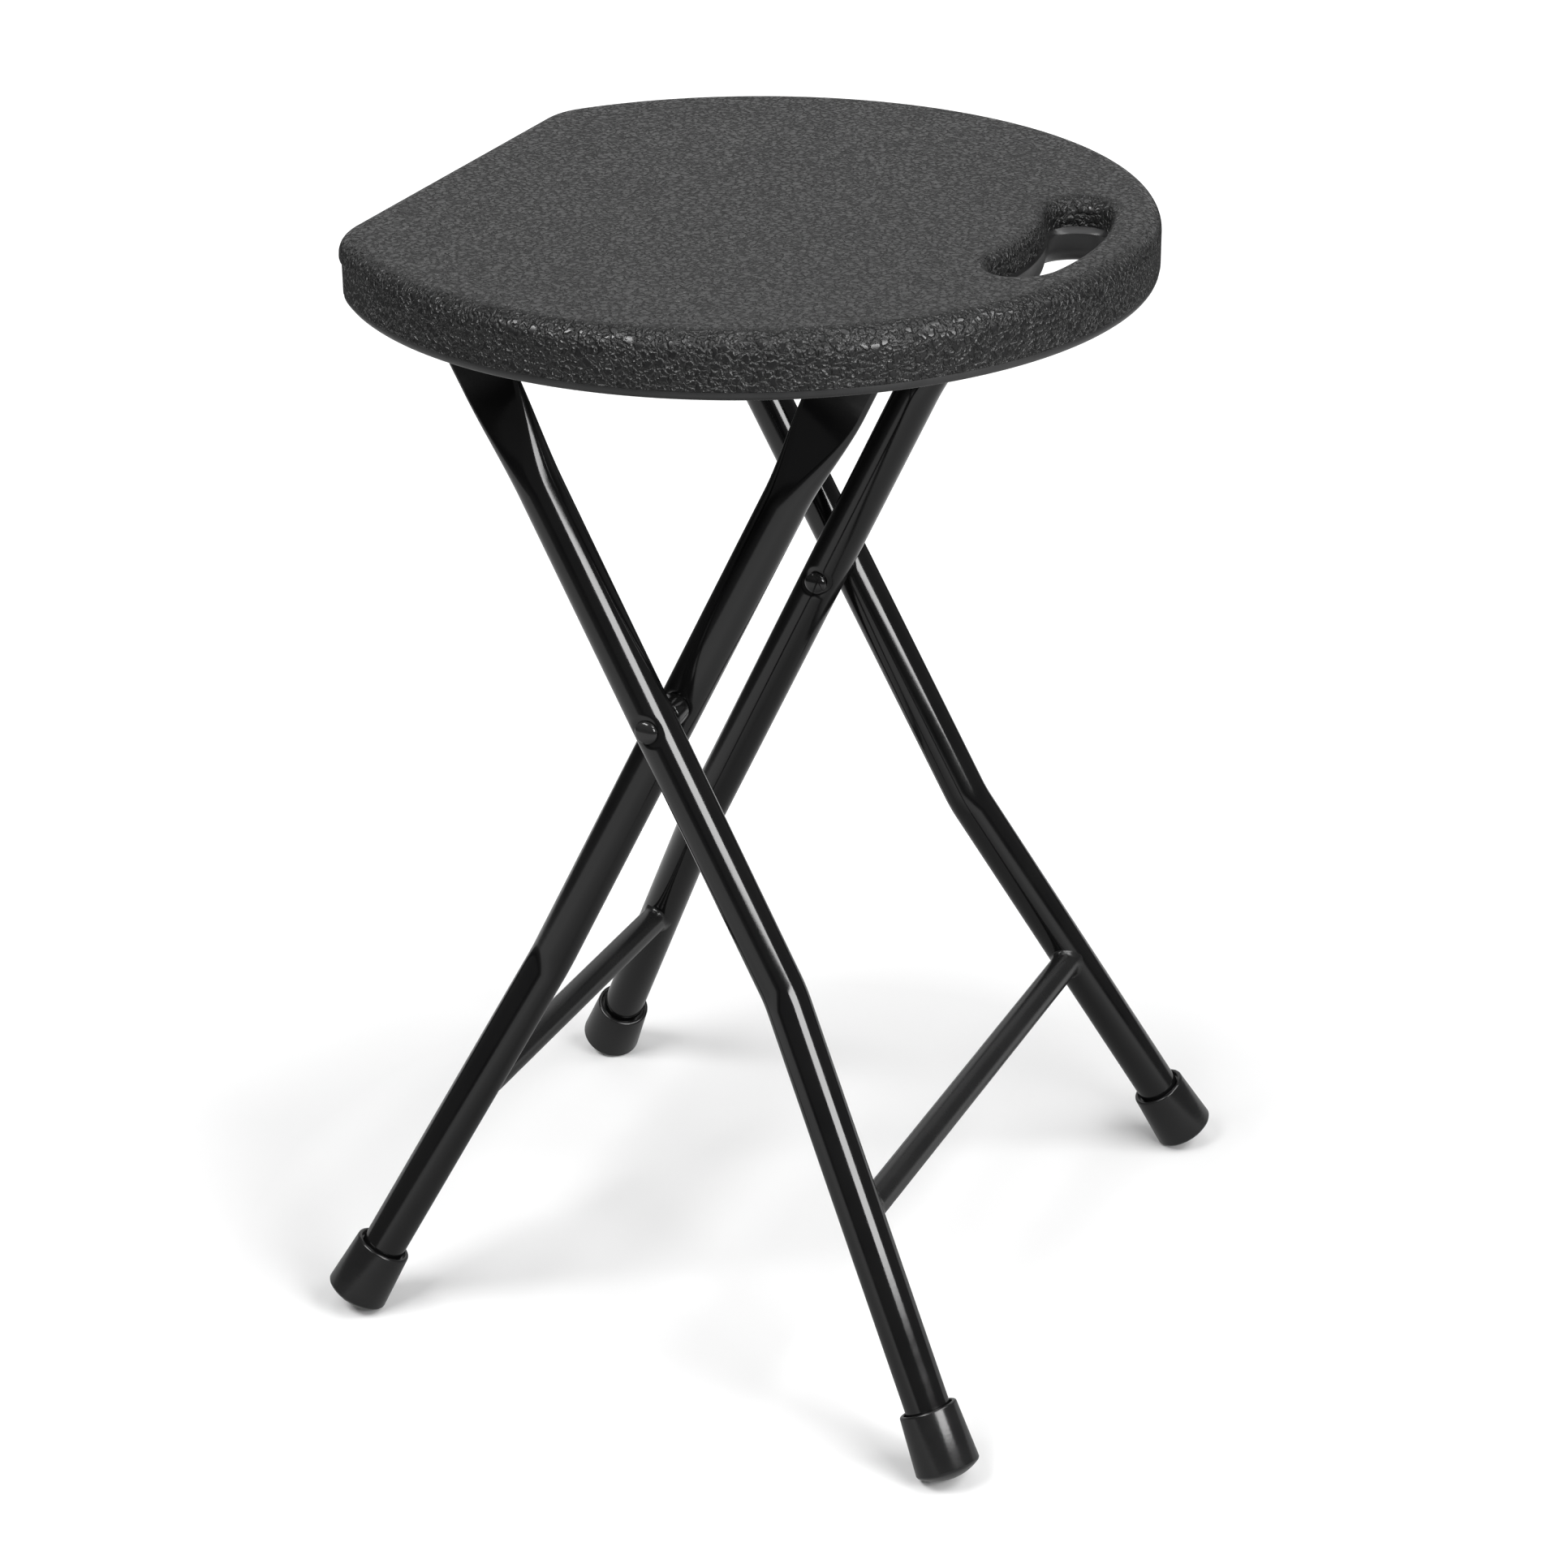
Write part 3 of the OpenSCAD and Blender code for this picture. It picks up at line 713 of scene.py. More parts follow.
@dataclass
class LegFrame:
    """One of the two bent tube frames: two legs, a rung, foot caps and the rod through its pressed ends."""

    name: str
    body: Body
    toward: float
    top: Vector
    places: Places
    palette: Palette
    half_width: float
    lean: float
    splay: float
    bend: float
    rod_name: str
    cap_name: str
    tube_radius: float = 9.0 * MM
    bend_radius: float = 45.0 * MM
    rung_radius: float = 6.0 * MM
    rung_drop: float = 207.5 * MM
    tab_half_width: float = 12.5 * MM
    tab_half_thickness: float = 1.8 * MM
    tab_flat: float = 13.0 * MM
    tab_blend: float = 47.0 * MM
    cap_mouth_radius: float = 11.7 * MM
    cap_base_radius: float = 13.0 * MM
    cap_side: float = 24.5 * MM
    cap_dome: float = 4.5 * MM
    cap_floor: float = 2.0 * MM
    relief_width: float = 1.0 * MM
    relief_depth: float = 1.5 * MM
    cap_lip: float = 0.9 * MM
    cap_edge: float = 0.55 * MM
    edge_degrees: float = 1.5
    cap_mouth_edge: float = 0.4 * MM
    dent_radius: float = 7.5 * MM
    dent_depth: float = 1.1 * MM
    dent_floor: float = 0.45 / 1.45
    dent_onset: tuple[float, float] = (0.25, 0.875)
    dent_reach: float = 1.4
    weld: float = 2.2 * MM
    weld_run: float = 2.2 * MM * 1.3
    weld_steps: tuple[float, ...] = (1.0, 0.93, 0.82, 0.68, 0.5, 0.3, 0.12, 0.0)
    weld_ripples: tuple[float, float] = (0.012, 0.015)
    weld_sink: float = 0.15 * MM
    rod_chamfer: float = 0.5 * MM
    leg_steps: int = 14
    bend_steps: int = 18
    tip_steps: int = 14
    tip_rim_steps: int = 5
    segments: int = 72
    stations: list["Station"] = field(default_factory=list)

    def __post_init__(self) -> None:
        """Works out the places along a leg."""
        rise = self.top.z - self.places.pivot.z
        self.tilt = math.atan2(abs(self.top.x - self.places.pivot.x), rise)
        self.rod_at = rise / math.cos(self.tilt)
        self.round_top = self.rod_at - self.tab_flat - self.tab_blend
        self.bend_y = self.half_width + self.bend * math.tan(self.lean)
        self.tab_y = self.half_width - (self.rod_at - self.tab_flat) * math.tan(self.lean)
        self.bend_run = self.bend_radius * math.tan((self.splay - self.lean) / 2)
        self.dome_radius = (self.cap_base_radius**2 + self.cap_dome**2) / (2 * self.cap_dome)
        drop = (self.places.pivot.z - self.dome_radius) / math.cos(self.tilt)
        self.dome_run = (drop - self.bend) / math.cos(self.splay)
        self.base_run = self.dome_run + self.dome_radius - self.cap_dome

    @property
    def place(self) -> Matrix:
        """Puts the frame's own plane, with the pivot at its origin and the tops up, where it stands."""
        return Matrix.Translation(self.places.pivot) @ Matrix.Rotation(self.toward * self.tilt, 4, "Y")

    @property
    def foot_place(self) -> Matrix:
        """Puts a turned shape on a rear lower leg: its origin at the bend's corner, its Z down the leg."""
        corner = Matrix.Translation((0, self.bend_y, -self.bend))
        return corner @ Matrix.Rotation(self.splay, 4, "X") @ Matrix.Rotation(math.pi, 4, "X")

    def build(self) -> None:
        """Builds every piece of the frame on both sides."""
        self.stations = self.route()
        for side in Side:
            self.leg(side)
            self.foot(side)
            self.rod_cap(side)
        self.rung()
        self.rod()

    def route(self) -> list["Station"]:
        """Lays out the sections of a rear leg from its lower end to its pressed tip.

        Returns:
            The sections in order.
        """
        radius = self.tube_radius
        stations = []
        foot_end = self.base_run - self.cap_floor
        lower = Vector((0, math.sin(self.splay), -math.cos(self.splay)))
        upper = Vector((0, -math.sin(self.lean), math.cos(self.lean)))
        corner = Vector((0, self.bend_y, -self.bend))
        for i in range(self.leg_steps + 1):
            run = foot_end + (self.bend_run - foot_end) * i / self.leg_steps
            stations.append(Station(corner + lower * run, self.splay, radius, 0.0))
        outward = Vector((0, math.cos(self.lean), math.sin(self.lean)))
        centre = corner + upper * self.bend_run + outward * self.bend_radius
        for i in range(1, self.bend_steps):
            angle = self.splay + (self.lean - self.splay) * i / self.bend_steps
            spot = centre - Vector((0, math.cos(angle), math.sin(angle))) * self.bend_radius
            stations.append(Station(spot, angle, radius, 0.0))
        start = -self.bend + self.bend_run * math.cos(self.lean)
        for height in self.upper_heights(start):
            stations.append(self.upper_station(height))
        return stations + self.tip()

    def upper_heights(self, start: float) -> list[float]:
        """Heights of the upper leg's sections, close together round the pivot and where it flattens.

        Args:
            start: The first height, at the bend's end.

        Returns:
            The heights in order, up to where the end's rounding starts.
        """
        dent = self.dent_reach * self.dent_radius
        flat_start = self.rod_at - self.tab_flat
        spans = ((start, -dent, 9), (-dent, dent, 34), (dent, self.round_top, 8),
                 (self.round_top, flat_start, 26), (flat_start, self.rod_at, 4))
        heights = [low + (high - low) * i / steps for low, high, steps in spans for i in range(steps)]
        return heights + [self.rod_at]

    def upper_station(self, height: float) -> "Station":
        """A section of the upper leg, pressed flat towards the top.

        Args:
            height: Distance above the pivot in the frame's own plane.

        Returns:
            The section.
        """
        share = smooth((height - self.round_top) / self.tab_blend)
        thickness = self.tube_radius + (self.tab_half_thickness - self.tube_radius) * share
        pressed = (self.tube_radius - thickness) / (self.tube_radius - self.tab_half_thickness)
        flat = (self.tab_half_width - self.tab_half_thickness) * pressed
        y = self.half_width - min(height, self.rod_at - self.tab_flat) * math.tan(self.lean)
        return Station(Vector((0, y, height)), self.lean * (1.0 - share), thickness, flat)

    def tip(self) -> list["Station"]:
        """The round tip of the pressed end.

        Returns:
            The sections past the rod.
        """
        reach = self.tab_half_width - self.tab_half_thickness
        stations = []
        for i in range(1, self.tip_steps + 1):
            angle = math.pi / 2 * i / self.tip_steps
            spot = Vector((0, self.tab_y, self.rod_at + reach * math.sin(angle)))
            stations.append(Station(spot, 0.0, self.tab_half_thickness, reach * math.cos(angle)))
        for i in range(1, self.tip_rim_steps):
            angle = math.pi / 2 * i / self.tip_rim_steps
            spot = Vector((0, self.tab_y, self.rod_at + reach + self.tab_half_thickness * math.sin(angle)))
            stations.append(Station(spot, 0.0, self.tab_half_thickness * math.cos(angle), 0.0))
        return stations

    def dented(self, point: Vector) -> Vector:
        """Presses a leg's surface in round the pivot rivet.

        Args:
            point: A point of the rear leg's surface in the frame's own plane.

        Returns:
            Where the point lies after pressing.
        """
        distance = math.hypot(point.x, point.z) / self.dent_radius
        if distance >= 1.0:
            return point
        inward = self.half_width - point.y
        crown = min(abs(inward) / self.tube_radius, 1.0)
        within = 1.0 - smooth((distance - self.dent_floor) / (1.0 - self.dent_floor))
        edge, full = self.dent_onset
        push = self.dent_depth * within * smooth((crown - edge) / (full - edge))
        return point + Vector((0, math.copysign(push, inward), 0))

    def leg(self, side: Side) -> None:
        """Builds one leg.

        Args:
            side: Which side of the stool.
        """
        mesh = bmesh.new()
        rings = [[self.dented(p) for p in station.points(self.segments)] for station in self.stations]
        loft = Loft(mesh, rings[0])
        for ring in rings[1:]:
            loft.to(ring)
        loft.close()
        loft.close_first()
        mesh.transform(self.place @ mirrored(side))
        name = f"{self.name}_leg_{side.label}"
        finish_piece(f"{name}_tube", mesh, self.body, [FinishName.LEG], self.palette, [name])

    def foot(self, side: Side) -> None:
        """Builds a rubber cap: soft lip, tapered side, crisp lower edge and domed base.

        Args:
            side: Which side of the stool.
        """
        mouth = self.base_run - self.cap_side
        lip, edge, soft = self.cap_lip, self.cap_edge, self.cap_mouth_edge
        inner = self.tube_radius - 0.05 * MM
        relief = self.tube_radius + self.relief_width
        half_angle = math.degrees(math.asin(self.cap_base_radius / self.dome_radius))
        crown_end = 90.0 - half_angle + self.edge_degrees
        crown = arc((0.0, self.dome_run), self.dome_radius, 90.0, crown_end, 14)
        profile = [(0.0, crown[0][1]), *crown[1:]]
        profile += arc((self.cap_base_radius - edge, self.base_run - edge), edge, 40, 0, 4)
        profile += arc((self.cap_mouth_radius - lip, mouth + lip), lip, 0, -90, 5)
        profile += arc((relief + soft, mouth + soft), soft, -90, -180, 3)
        profile += [(relief, mouth + self.relief_depth), (inner, mouth + self.relief_depth)]
        profile += [(inner, self.base_run - self.cap_floor), (0.0, self.base_run - self.cap_floor)]
        mesh = turned(profile, self.place @ mirrored(side) @ self.foot_place, steps=96)
        name = f"{self.name}_foot_{side.label}"
        finish_piece(f"{name}_cap", mesh, self.body, [FinishName.FOOT], self.palette, [name])

    def rung(self) -> None:
        """Builds the cross tube, with a weld running round each end where it meets a leg."""
        rung_y = self.bend_y + (self.rung_drop - self.bend) * math.tan(self.splay)
        mesh = bmesh.new()
        loft: Loft | None = None
        for side in Side:
            rings = [self.rung_ring(rung_y, share) for share in self.weld_steps]
            if side is Side.REAR:
                rings = list(reversed(rings))
            for ring in rings:
                points = [Vector((p.x, side.value * p.y, p.z)) for p in ring]
                if loft is None:
                    loft = Loft(mesh, points)
                else:
                    loft.to(points)
        loft.close()
        loft.close_first()
        mesh.transform(self.place)
        name = f"{self.name}_rung"
        finish_piece(f"{name}_tube", mesh, self.body, [FinishName.RUNG], self.palette, [name])

    def rung_ring(self, rung_y: float, share: float) -> list[Vector]:
        """One ring of the rung near its rear end.

        Args:
            rung_y: Where the rung's axis meets the leg's.
            share: 1 on the leg's surface, 0 where the weld has run out into the plain tube.

        Returns:
            The ring's points in the frame's own plane.
        """
        points = []
        flare = self.weld * (1.0 - math.sqrt(max(0.0, 1.0 - share**2)))
        radius = self.rung_radius + flare
        back = self.weld_run * (1.0 - share)
        fine, broad = self.weld_ripples
        seat = self.tube_radius - self.weld_sink * share
        for i in range(self.segments):
            angle = math.tau * i / self.segments
            ripple = 1.0 + share * (fine * math.sin(11 * angle) + broad * math.sin(5 * angle + 1.0))
            x, up = radius * ripple * math.cos(angle), radius * ripple * math.sin(angle)
            inside = math.sqrt(seat**2 - x**2)
            y = rung_y - (inside + up * math.sin(self.splay)) / math.cos(self.splay) - back
            points.append(Vector((x, y, up - self.rung_drop)))
        return points

    def rod(self) -> None:
        """Builds the steel rod through the pressed ends, its own ends chamfered."""
        low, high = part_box(self.rod_name)
        half, radius, chamfer = high.y, (high.x - low.x) / 2, self.rod_chamfer
        profile = [(0.0, -half), (radius - chamfer, -half), (radius, -half + chamfer)]
        profile += [(radius, half - chamfer), (radius - chamfer, half), (0.0, half)]
        mesh = turned(profile, Matrix.Translation((low + high) / 2) @ ALONG_Y)
        finish_piece(f"{self.rod_name}_bar", mesh, self.body, [FinishName.ROD], self.palette, [self.rod_name])

    def rod_cap(self, side: Side) -> None:
        """Builds the domed cap pushed over a rod's end.

        Args:
            side: Which side of the stool.
        """
        name = f"{self.cap_name}_{side.label}"
        span = Span.read(name)
        radius, height = span.radius, span.end - span.start
        flange, crown, edge, fillet = 1.0 * MM, 1.8 * MM, 0.3 * MM, 0.4 * MM
        body_radius = radius - 1.6 * MM
        profile = [(0.0, 0.0), (radius - edge, 0.0), (radius, edge), (radius, flange - edge)]
        profile += [(radius - edge, flange), (body_radius + fillet, flange), (body_radius, flange + fillet)]
        profile += arc((body_radius - crown, height - crown), crown, 0, 80, 6)
        profile += [(0.0, height)]
        centre = Vector((self.top.x, span.start, self.top.z))
        mesh = turned(profile, facing_out(side, centre))
        finish_piece(f"{name}_push_on", mesh, self.body, [FinishName.ROD_CAP], self.palette, [name])


@dataclass(frozen=True)
class Station:
    """One section of a leg: a round, or two half rounds joined by flats where it is pressed."""

    centre: Vector
    angle: float
    radius: float
    flat: float

    def points(self, count: int) -> list[Vector]:
        """Points round the section.

        Args:
            count: How many.

        Returns:
            The points, in the leg's own frame.
        """
        out = Vector((0, math.cos(self.angle), math.sin(self.angle)))
        points = []
        for i in range(count):
            turn = math.tau * (i + 0.5) / count
            across = self.radius * math.cos(turn) + math.copysign(self.flat, math.cos(turn))
            points.append(self.centre + Vector((across, 0, 0)) + out * (self.radius * math.sin(turn)))
        return points


# --------------------------------------------------------------------------------------------------
# Pivots


@dataclass
class Pivots:
    """The rivet and the spacer where the two frames cross, on each side."""

    places: Places
    palette: Palette
    head_radius: float = 4.75 * MM
    head_height: float = 2.4 * MM
    head_rim: float = 0.35 * MM
    shank_radius: float = 2.5 * MM
    bush_edge: float = 0.8 * MM

    def build(self) -> None:
        """Builds both sides."""
        for side in Side:
            self.rivet(side)
            self.spacer(side)

    def rivet(self, side: Side) -> None:
        """Builds a rivet with a domed head at each end.

        Args:
            side: Which side of the stool.
        """
        name = f"pivot_rivet_{side.label}"
        span = Span.read(name)
        near, far = span.start + self.head_height, span.end - self.head_height
        rise = self.head_height - self.head_rim
        dome = [(self.head_radius * x, self.head_rim + rise * y) for x, y in arc((0.0, 0.0), 1.0, 0, 81, 9)]
        profile: list[Point] = [(0.0, span.start)]
        profile += [(r, near - h) for r, h in reversed(dome)]
        profile += [(self.head_radius, near), (self.shank_radius, near)]
        profile += [(self.shank_radius, far), (self.head_radius, far)]
        profile += [(r, far + h) for r, h in dome]
        profile += [(0.0, span.end)]
        mesh = turned(profile, facing_out(side, self.places.pivot_axis))
        finish_piece(f"{name}_steel", mesh, Body.OUTER, [FinishName.RIVET], self.palette, [name])

    def spacer(self, side: Side) -> None:
        """Builds the plain bush between the two tubes, with softened ends.

        Args:
            side: Which side of the stool.
        """
        name = f"pivot_spacer_{side.label}"
        span, soft = Span.read(name), self.bush_edge
        profile = arc((span.radius - soft, span.start + soft), soft, -90, 0, 4)
        profile += arc((span.radius - soft, span.end - soft), soft, 0, 90, 4)
        profile += [(self.shank_radius, span.end), (self.shank_radius, span.start)]
        mesh = turned(profile, facing_out(side, self.places.pivot_axis))
        finish_piece(f"{name}_bush", mesh, Body.OUTER, [FinishName.SPACER], self.palette, [name])


# --------------------------------------------------------------------------------------------------
# Seat


@dataclass
class Seat:
    """The hollow moulded seat: grained top and sides, smooth foot band, handle slot and cups below."""

    palette: Palette
    top_edge: float = 8.0 * MM
    foot_edge: float = 3.0 * MM
    flat_rim: float = 0.8 * MM
    band: float = 0.7 * MM
    band_step: float = 0.25 * MM
    band_rise: float = 0.3 * MM
    lip_height: float = 9.5 * MM
    lip_step: float = 3.5 * MM
    lip_edge: float = 0.8 * MM
    corner: float = 30.0 * MM
    slot_middle: float = 127.3 * MM
    slot_half_width: float = 12.5 * MM
    slot_half_turn: float = math.radians(16.0)
    slot_turn: float = math.radians(2.5)
    slot_lip: float = 5.5 * MM
    slot_end_lip: float = 9.0 * MM
    slot_ridge: float = 0.7 * MM
    slot_ledge: float = 2.5 * MM
    slot_rim: float = 0.6 * MM
    cup_pitch: float = 40.0 * MM
    cup_mouth: float = 10.0 * MM
    cup_top: float = 4.5 * MM
    cup_lip: float = 1.6 * MM
    cup_room: float = 4.0 * MM
    wall: float = 3.0 * MM
    vent_radius: float = 2.5 * MM
    vent_depth: float = 6.0 * MM
    vent_edge: float = 0.5 * MM
    rim_steps: int = 168
    flat_steps: int = 40
    slot_steps: int = 36
    slot_end_steps: int = 20

    def __post_init__(self) -> None:
        """Works out the rim's radius and middle from the seat's box."""
        low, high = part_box("seat_shell")
        self.radius = (high.y - low.y) / 2
        self.middle = high.x - self.radius
        self.flat = self.middle - low.x
        self.low = low.z
        self.high = high.z

    def outline(self, inset: float, recess: float, height: float) -> list[Vector]:
        """The seat's outline at one height: a circle with a flat side and soft corners.

        Args:
            inset: How far inside the full outline.
            recess: How much further back the flat side is.
            height: The outline's height.

        Returns:
            The outline's points, in a fixed order for every height.
        """
        radius, flat, corner = self.radius - inset, self.flat - recess - inset, self.corner - inset
        reach = flat - corner
        corner_y = math.sqrt((radius - corner) ** 2 - reach**2)
        tangent = math.degrees(math.atan2(corner_y, -reach))
        rim = arc((0.0, 0.0), radius, -tangent, tangent, self.rim_steps)
        upper = arc((-reach, corner_y), corner, tangent, 180.0, 6)
        lower = arc((-reach, -corner_y), corner, 180.0, 360.0 - tangent, 6)
        side = [(-flat, corner_y * (1.0 - 2.0 * i / self.flat_steps)) for i in range(1, self.flat_steps)]
        points = rim + upper[1:] + side + lower[:-1]
        return [Vector((self.middle + x, y, height)) for x, y in points]

    def slot_outline(self, grow: float, height: float, at_ends: float) -> list[Vector]:
        """The curved slot's outline at one height.

        Args:
            grow: How far outside the slot's throat.
            height: The outline's height.
            at_ends: How far outside it at the slot's two tips.

        Returns:
            The outline's points.
        """
        radius = self.slot_half_width + grow
        points: list[Point] = []
        for way in (1, -1):
            turn = way * self.slot_half_turn
            degrees = math.degrees(turn)
            points += arc((0.0, 0.0), self.slot_middle + way * radius, -degrees, degrees, self.slot_steps)
            points += self.slot_end(turn, radius, at_ends - grow)
        spin = Matrix.Rotation(self.slot_turn, 2)
        turned_points = [spin @ Vector(p) for p in points]
        return [Vector((self.middle + p.x, p.y, height)) for p in turned_points]

    def slot_end(self, angle: float, radius: float, more: float) -> list[Point]:
        """Points round one end of the slot, without its two joins to the arcs.

        Args:
            angle: Where the end's centre is along the slot.
            radius: The end's radius.
            more: How much further out its tip is.

        Returns:
            The points, in the outline's order.
        """
        centre = (self.slot_middle * math.cos(angle), self.slot_middle * math.sin(angle))
        start = angle if angle > 0.0 else angle + math.pi
        points = []
        for i in range(1, self.slot_end_steps):
            turn = math.pi * i / self.slot_end_steps
            reach = radius + more * math.sin(turn) ** 2
            x, y = reach * math.cos(start + turn), reach * math.sin(start + turn)
            points.append((centre[0] + x, centre[1] + y))
        return points

    def cup_places(self) -> list[Point]:
        """Middles of the tack-off cups: a staggered grid clear of the metalwork, the slot and the rim.

        Returns:
            The places in plan.
        """
        room = self.cup_mouth + self.cup_room
        keep_out = []
        for node in ("hinge_bracket_rear", "rest_clip_rear"):
            low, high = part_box(node)
            keep_out.append((low.x - room, high.x + room, low.y - room, high.y + room))
        row_pitch = self.cup_pitch * math.sin(math.pi / 3)
        rows = math.ceil(self.radius / row_pitch)
        columns = math.ceil(self.radius / self.cup_pitch) + 1
        rim_room = room + self.top_edge
        slot_near = self.slot_middle - self.slot_half_width - self.slot_lip - room
        slot_reach = 2.0 * self.slot_half_turn
        places = []
        for row in range(-rows, rows + 1):
            for column in range(-columns, columns + 1):
                x = (column + (row % 2) / 2) * self.cup_pitch
                y = row * row_pitch
                distance = math.hypot(x, y)
                if distance > self.radius - rim_room or x < -self.flat + self.lip_step + rim_room:
                    continue
                if x > 0 and distance > slot_near and abs(math.atan2(y, x)) < slot_reach:
                    continue
                world_x = self.middle + x
                if any(a < world_x < b and c < abs(y) < d for a, b, c, d in keep_out):
                    continue
                places.append((world_x, y))
        return places

    def build(self) -> None:
        """Builds the seat as one closed skin."""
        mesh = bmesh.new()
        grained, plain = 0, 1
        outer = Loft(mesh, self.outline(self.foot_edge + self.flat_rim, self.lip_step, self.low))
        self.side_skin(outer, grained, plain)
        slot_foot = self.slot_lip + self.slot_rim
        slot = Loft(mesh, self.slot_outline(slot_foot, self.low, slot_foot))
        self.slot_skin(slot, grained, plain)
        self.fill(mesh, outer.edges() + slot.edges(), grained)
        cup_rims = self.cups(mesh, plain)
        self.fill(mesh, outer.first + slot.first + cup_rims, plain)
        finishes = [FinishName.SEAT, FinishName.SEAT_SMOOTH]
        finish_piece("seat_moulding", mesh, Body.SEAT, finishes, self.palette, ["seat_shell"])

    def side_skin(self, loft: Loft, grained: int, plain: int) -> None:
        """Draws the side from the underside's rim up to the top's.

        Args:
            loft: The loft, started on the underside.
            grained: Material number of the grain.
            plain: Material number of the smooth plastic.
        """
        foot, top, step, recess = self.foot_edge, self.top_edge, self.band_step, self.lip_step
        for inset, rise in arc((foot, foot), foot, 270, 180, 6):
            loft.to(self.outline(inset + step, recess, self.low + rise), plain)
        band = self.low + foot + self.band
        loft.to(self.outline(step, recess, band), plain)
        loft.to(self.outline(0.0, recess, band + self.band_rise), grained)
        lip = self.high - self.lip_height
        soft = self.lip_edge
        loft.to(self.outline(0.0, recess, lip - soft), grained)
        loft.to(self.outline(0.0, recess - 0.3 * soft, lip - 0.25 * soft), grained)
        loft.to(self.outline(0.0, recess - soft, lip), grained)
        loft.to(self.outline(0.0, soft, lip + 0.01 * MM), grained)
        for offset, rise in arc((soft, soft), soft, 240, 180, 3):
            loft.to(self.outline(0.0, offset, lip + rise), grained)
        for inset, rise in arc((top, -top), top, 180, 90, 12):
            loft.to(self.outline(inset, 0.0, self.high + rise), grained)
        loft.to(self.outline(top + self.flat_rim, 0.0, self.high), grained)

    def slot_skin(self, loft: Loft, grained: int, plain: int) -> None:
        """Draws the slot's wall from the underside up through its two round lips.

        Args:
            loft: The loft, started on the underside.
            grained: Material number of the grain.
            plain: Material number of the smooth plastic.
        """
        lip, ends, ridge, ledge = self.slot_lip, self.slot_end_lip, self.slot_ridge, self.slot_ledge
        for grow, rise in arc((lip, lip), lip, 270, 180, 8):
            loft.to(self.slot_outline(grow, self.low + rise, grow - ledge), plain)
        middle = (self.low + self.high) / 2
        seam = ((0.25, -1.6 * MM, ledge), (1.0, -0.35 * MM, ledge), (1.0, 0.35 * MM, ledge * 0.7),
                (0.25, 1.6 * MM, 0.0))
        for share, rise, back in seam:
            loft.to(self.slot_outline(-ridge * share, middle + rise, -ridge * share - back), plain)
        for grow, rise in arc((lip, -lip), lip, 180, 90, 10):
            loft.to(self.slot_outline(grow, self.high + rise, grow * ends / lip), grained)
        loft.to(self.slot_outline(lip + self.slot_rim, self.high, ends + self.slot_rim), grained)

    def cups(self, mesh: bmesh.types.BMesh, plain: int) -> list[bmesh.types.BMEdge]:
        """Draws the tack-off cups and the blow hole under the seat.

        Args:
            mesh: The seat's mesh.
            plain: Material number of the smooth plastic.

        Returns:
            The edges of their rims on the underside.
        """
        rims: list[bmesh.types.BMEdge] = []
        depth, lip, top = self.high - self.low - self.wall, self.cup_lip, self.cup_top
        cup = arc((self.cup_mouth + lip, lip), lip, 270, 190, 4)
        cup += [(top + 1.0 * MM, depth - 1.2 * MM), (top, depth - 0.3 * MM), (top - 1.0 * MM, depth)]
        for spot in self.cup_places():
            rims += self.hole(mesh, spot, cup, 28, plain)
        radius, edge = self.vent_radius, self.vent_edge
        vent = [(radius + edge, 0.0), (radius, edge), (radius, self.vent_depth)]
        return rims + self.hole(mesh, (self.middle - self.cup_pitch / 2, 0.0), vent, 20, plain)

    def hole(self, mesh: bmesh.types.BMesh, at: Point, levels: Sequence[Point], count: int,
             plain: int) -> list[bmesh.types.BMEdge]:
        """Draws a blind round hole up into the seat.

        Args:
            mesh: The seat's mesh.
            at: The hole's middle in plan.
            levels: Its radius at each height above the underside.
            count: Faces round it.
            plain: Material number of the smooth plastic.

        Returns:
            The edges of its rim.
        """
        rings = []
        for radius, rise in levels:
            rings.append([Vector((x, y, self.low + rise)) for x, y in arc(at, radius, 0, 360, count)[:-1]])
        loft = Loft(mesh, rings[0])
        for ring in rings[1:]:
            loft.to(ring, plain)
        loft.close(plain)
        return loft.first

    def fill(self, mesh: bmesh.types.BMesh, edges: Sequence[bmesh.types.BMEdge], material: int) -> None:
        """Fills a flat face that has holes.

        Args:
            mesh: The seat's mesh.
            edges: The edges of its outline and of its holes.
            material: Material number of the face.
        """
        made = bmesh.ops.triangle_fill(mesh, use_beauty=True, use_dissolve=False, edges=list(edges))["geom"]
        for face in (g for g in made if isinstance(g, bmesh.types.BMFace)):
            face.material_index = material


# --------------------------------------------------------------------------------------------------
# Metalwork under the seat


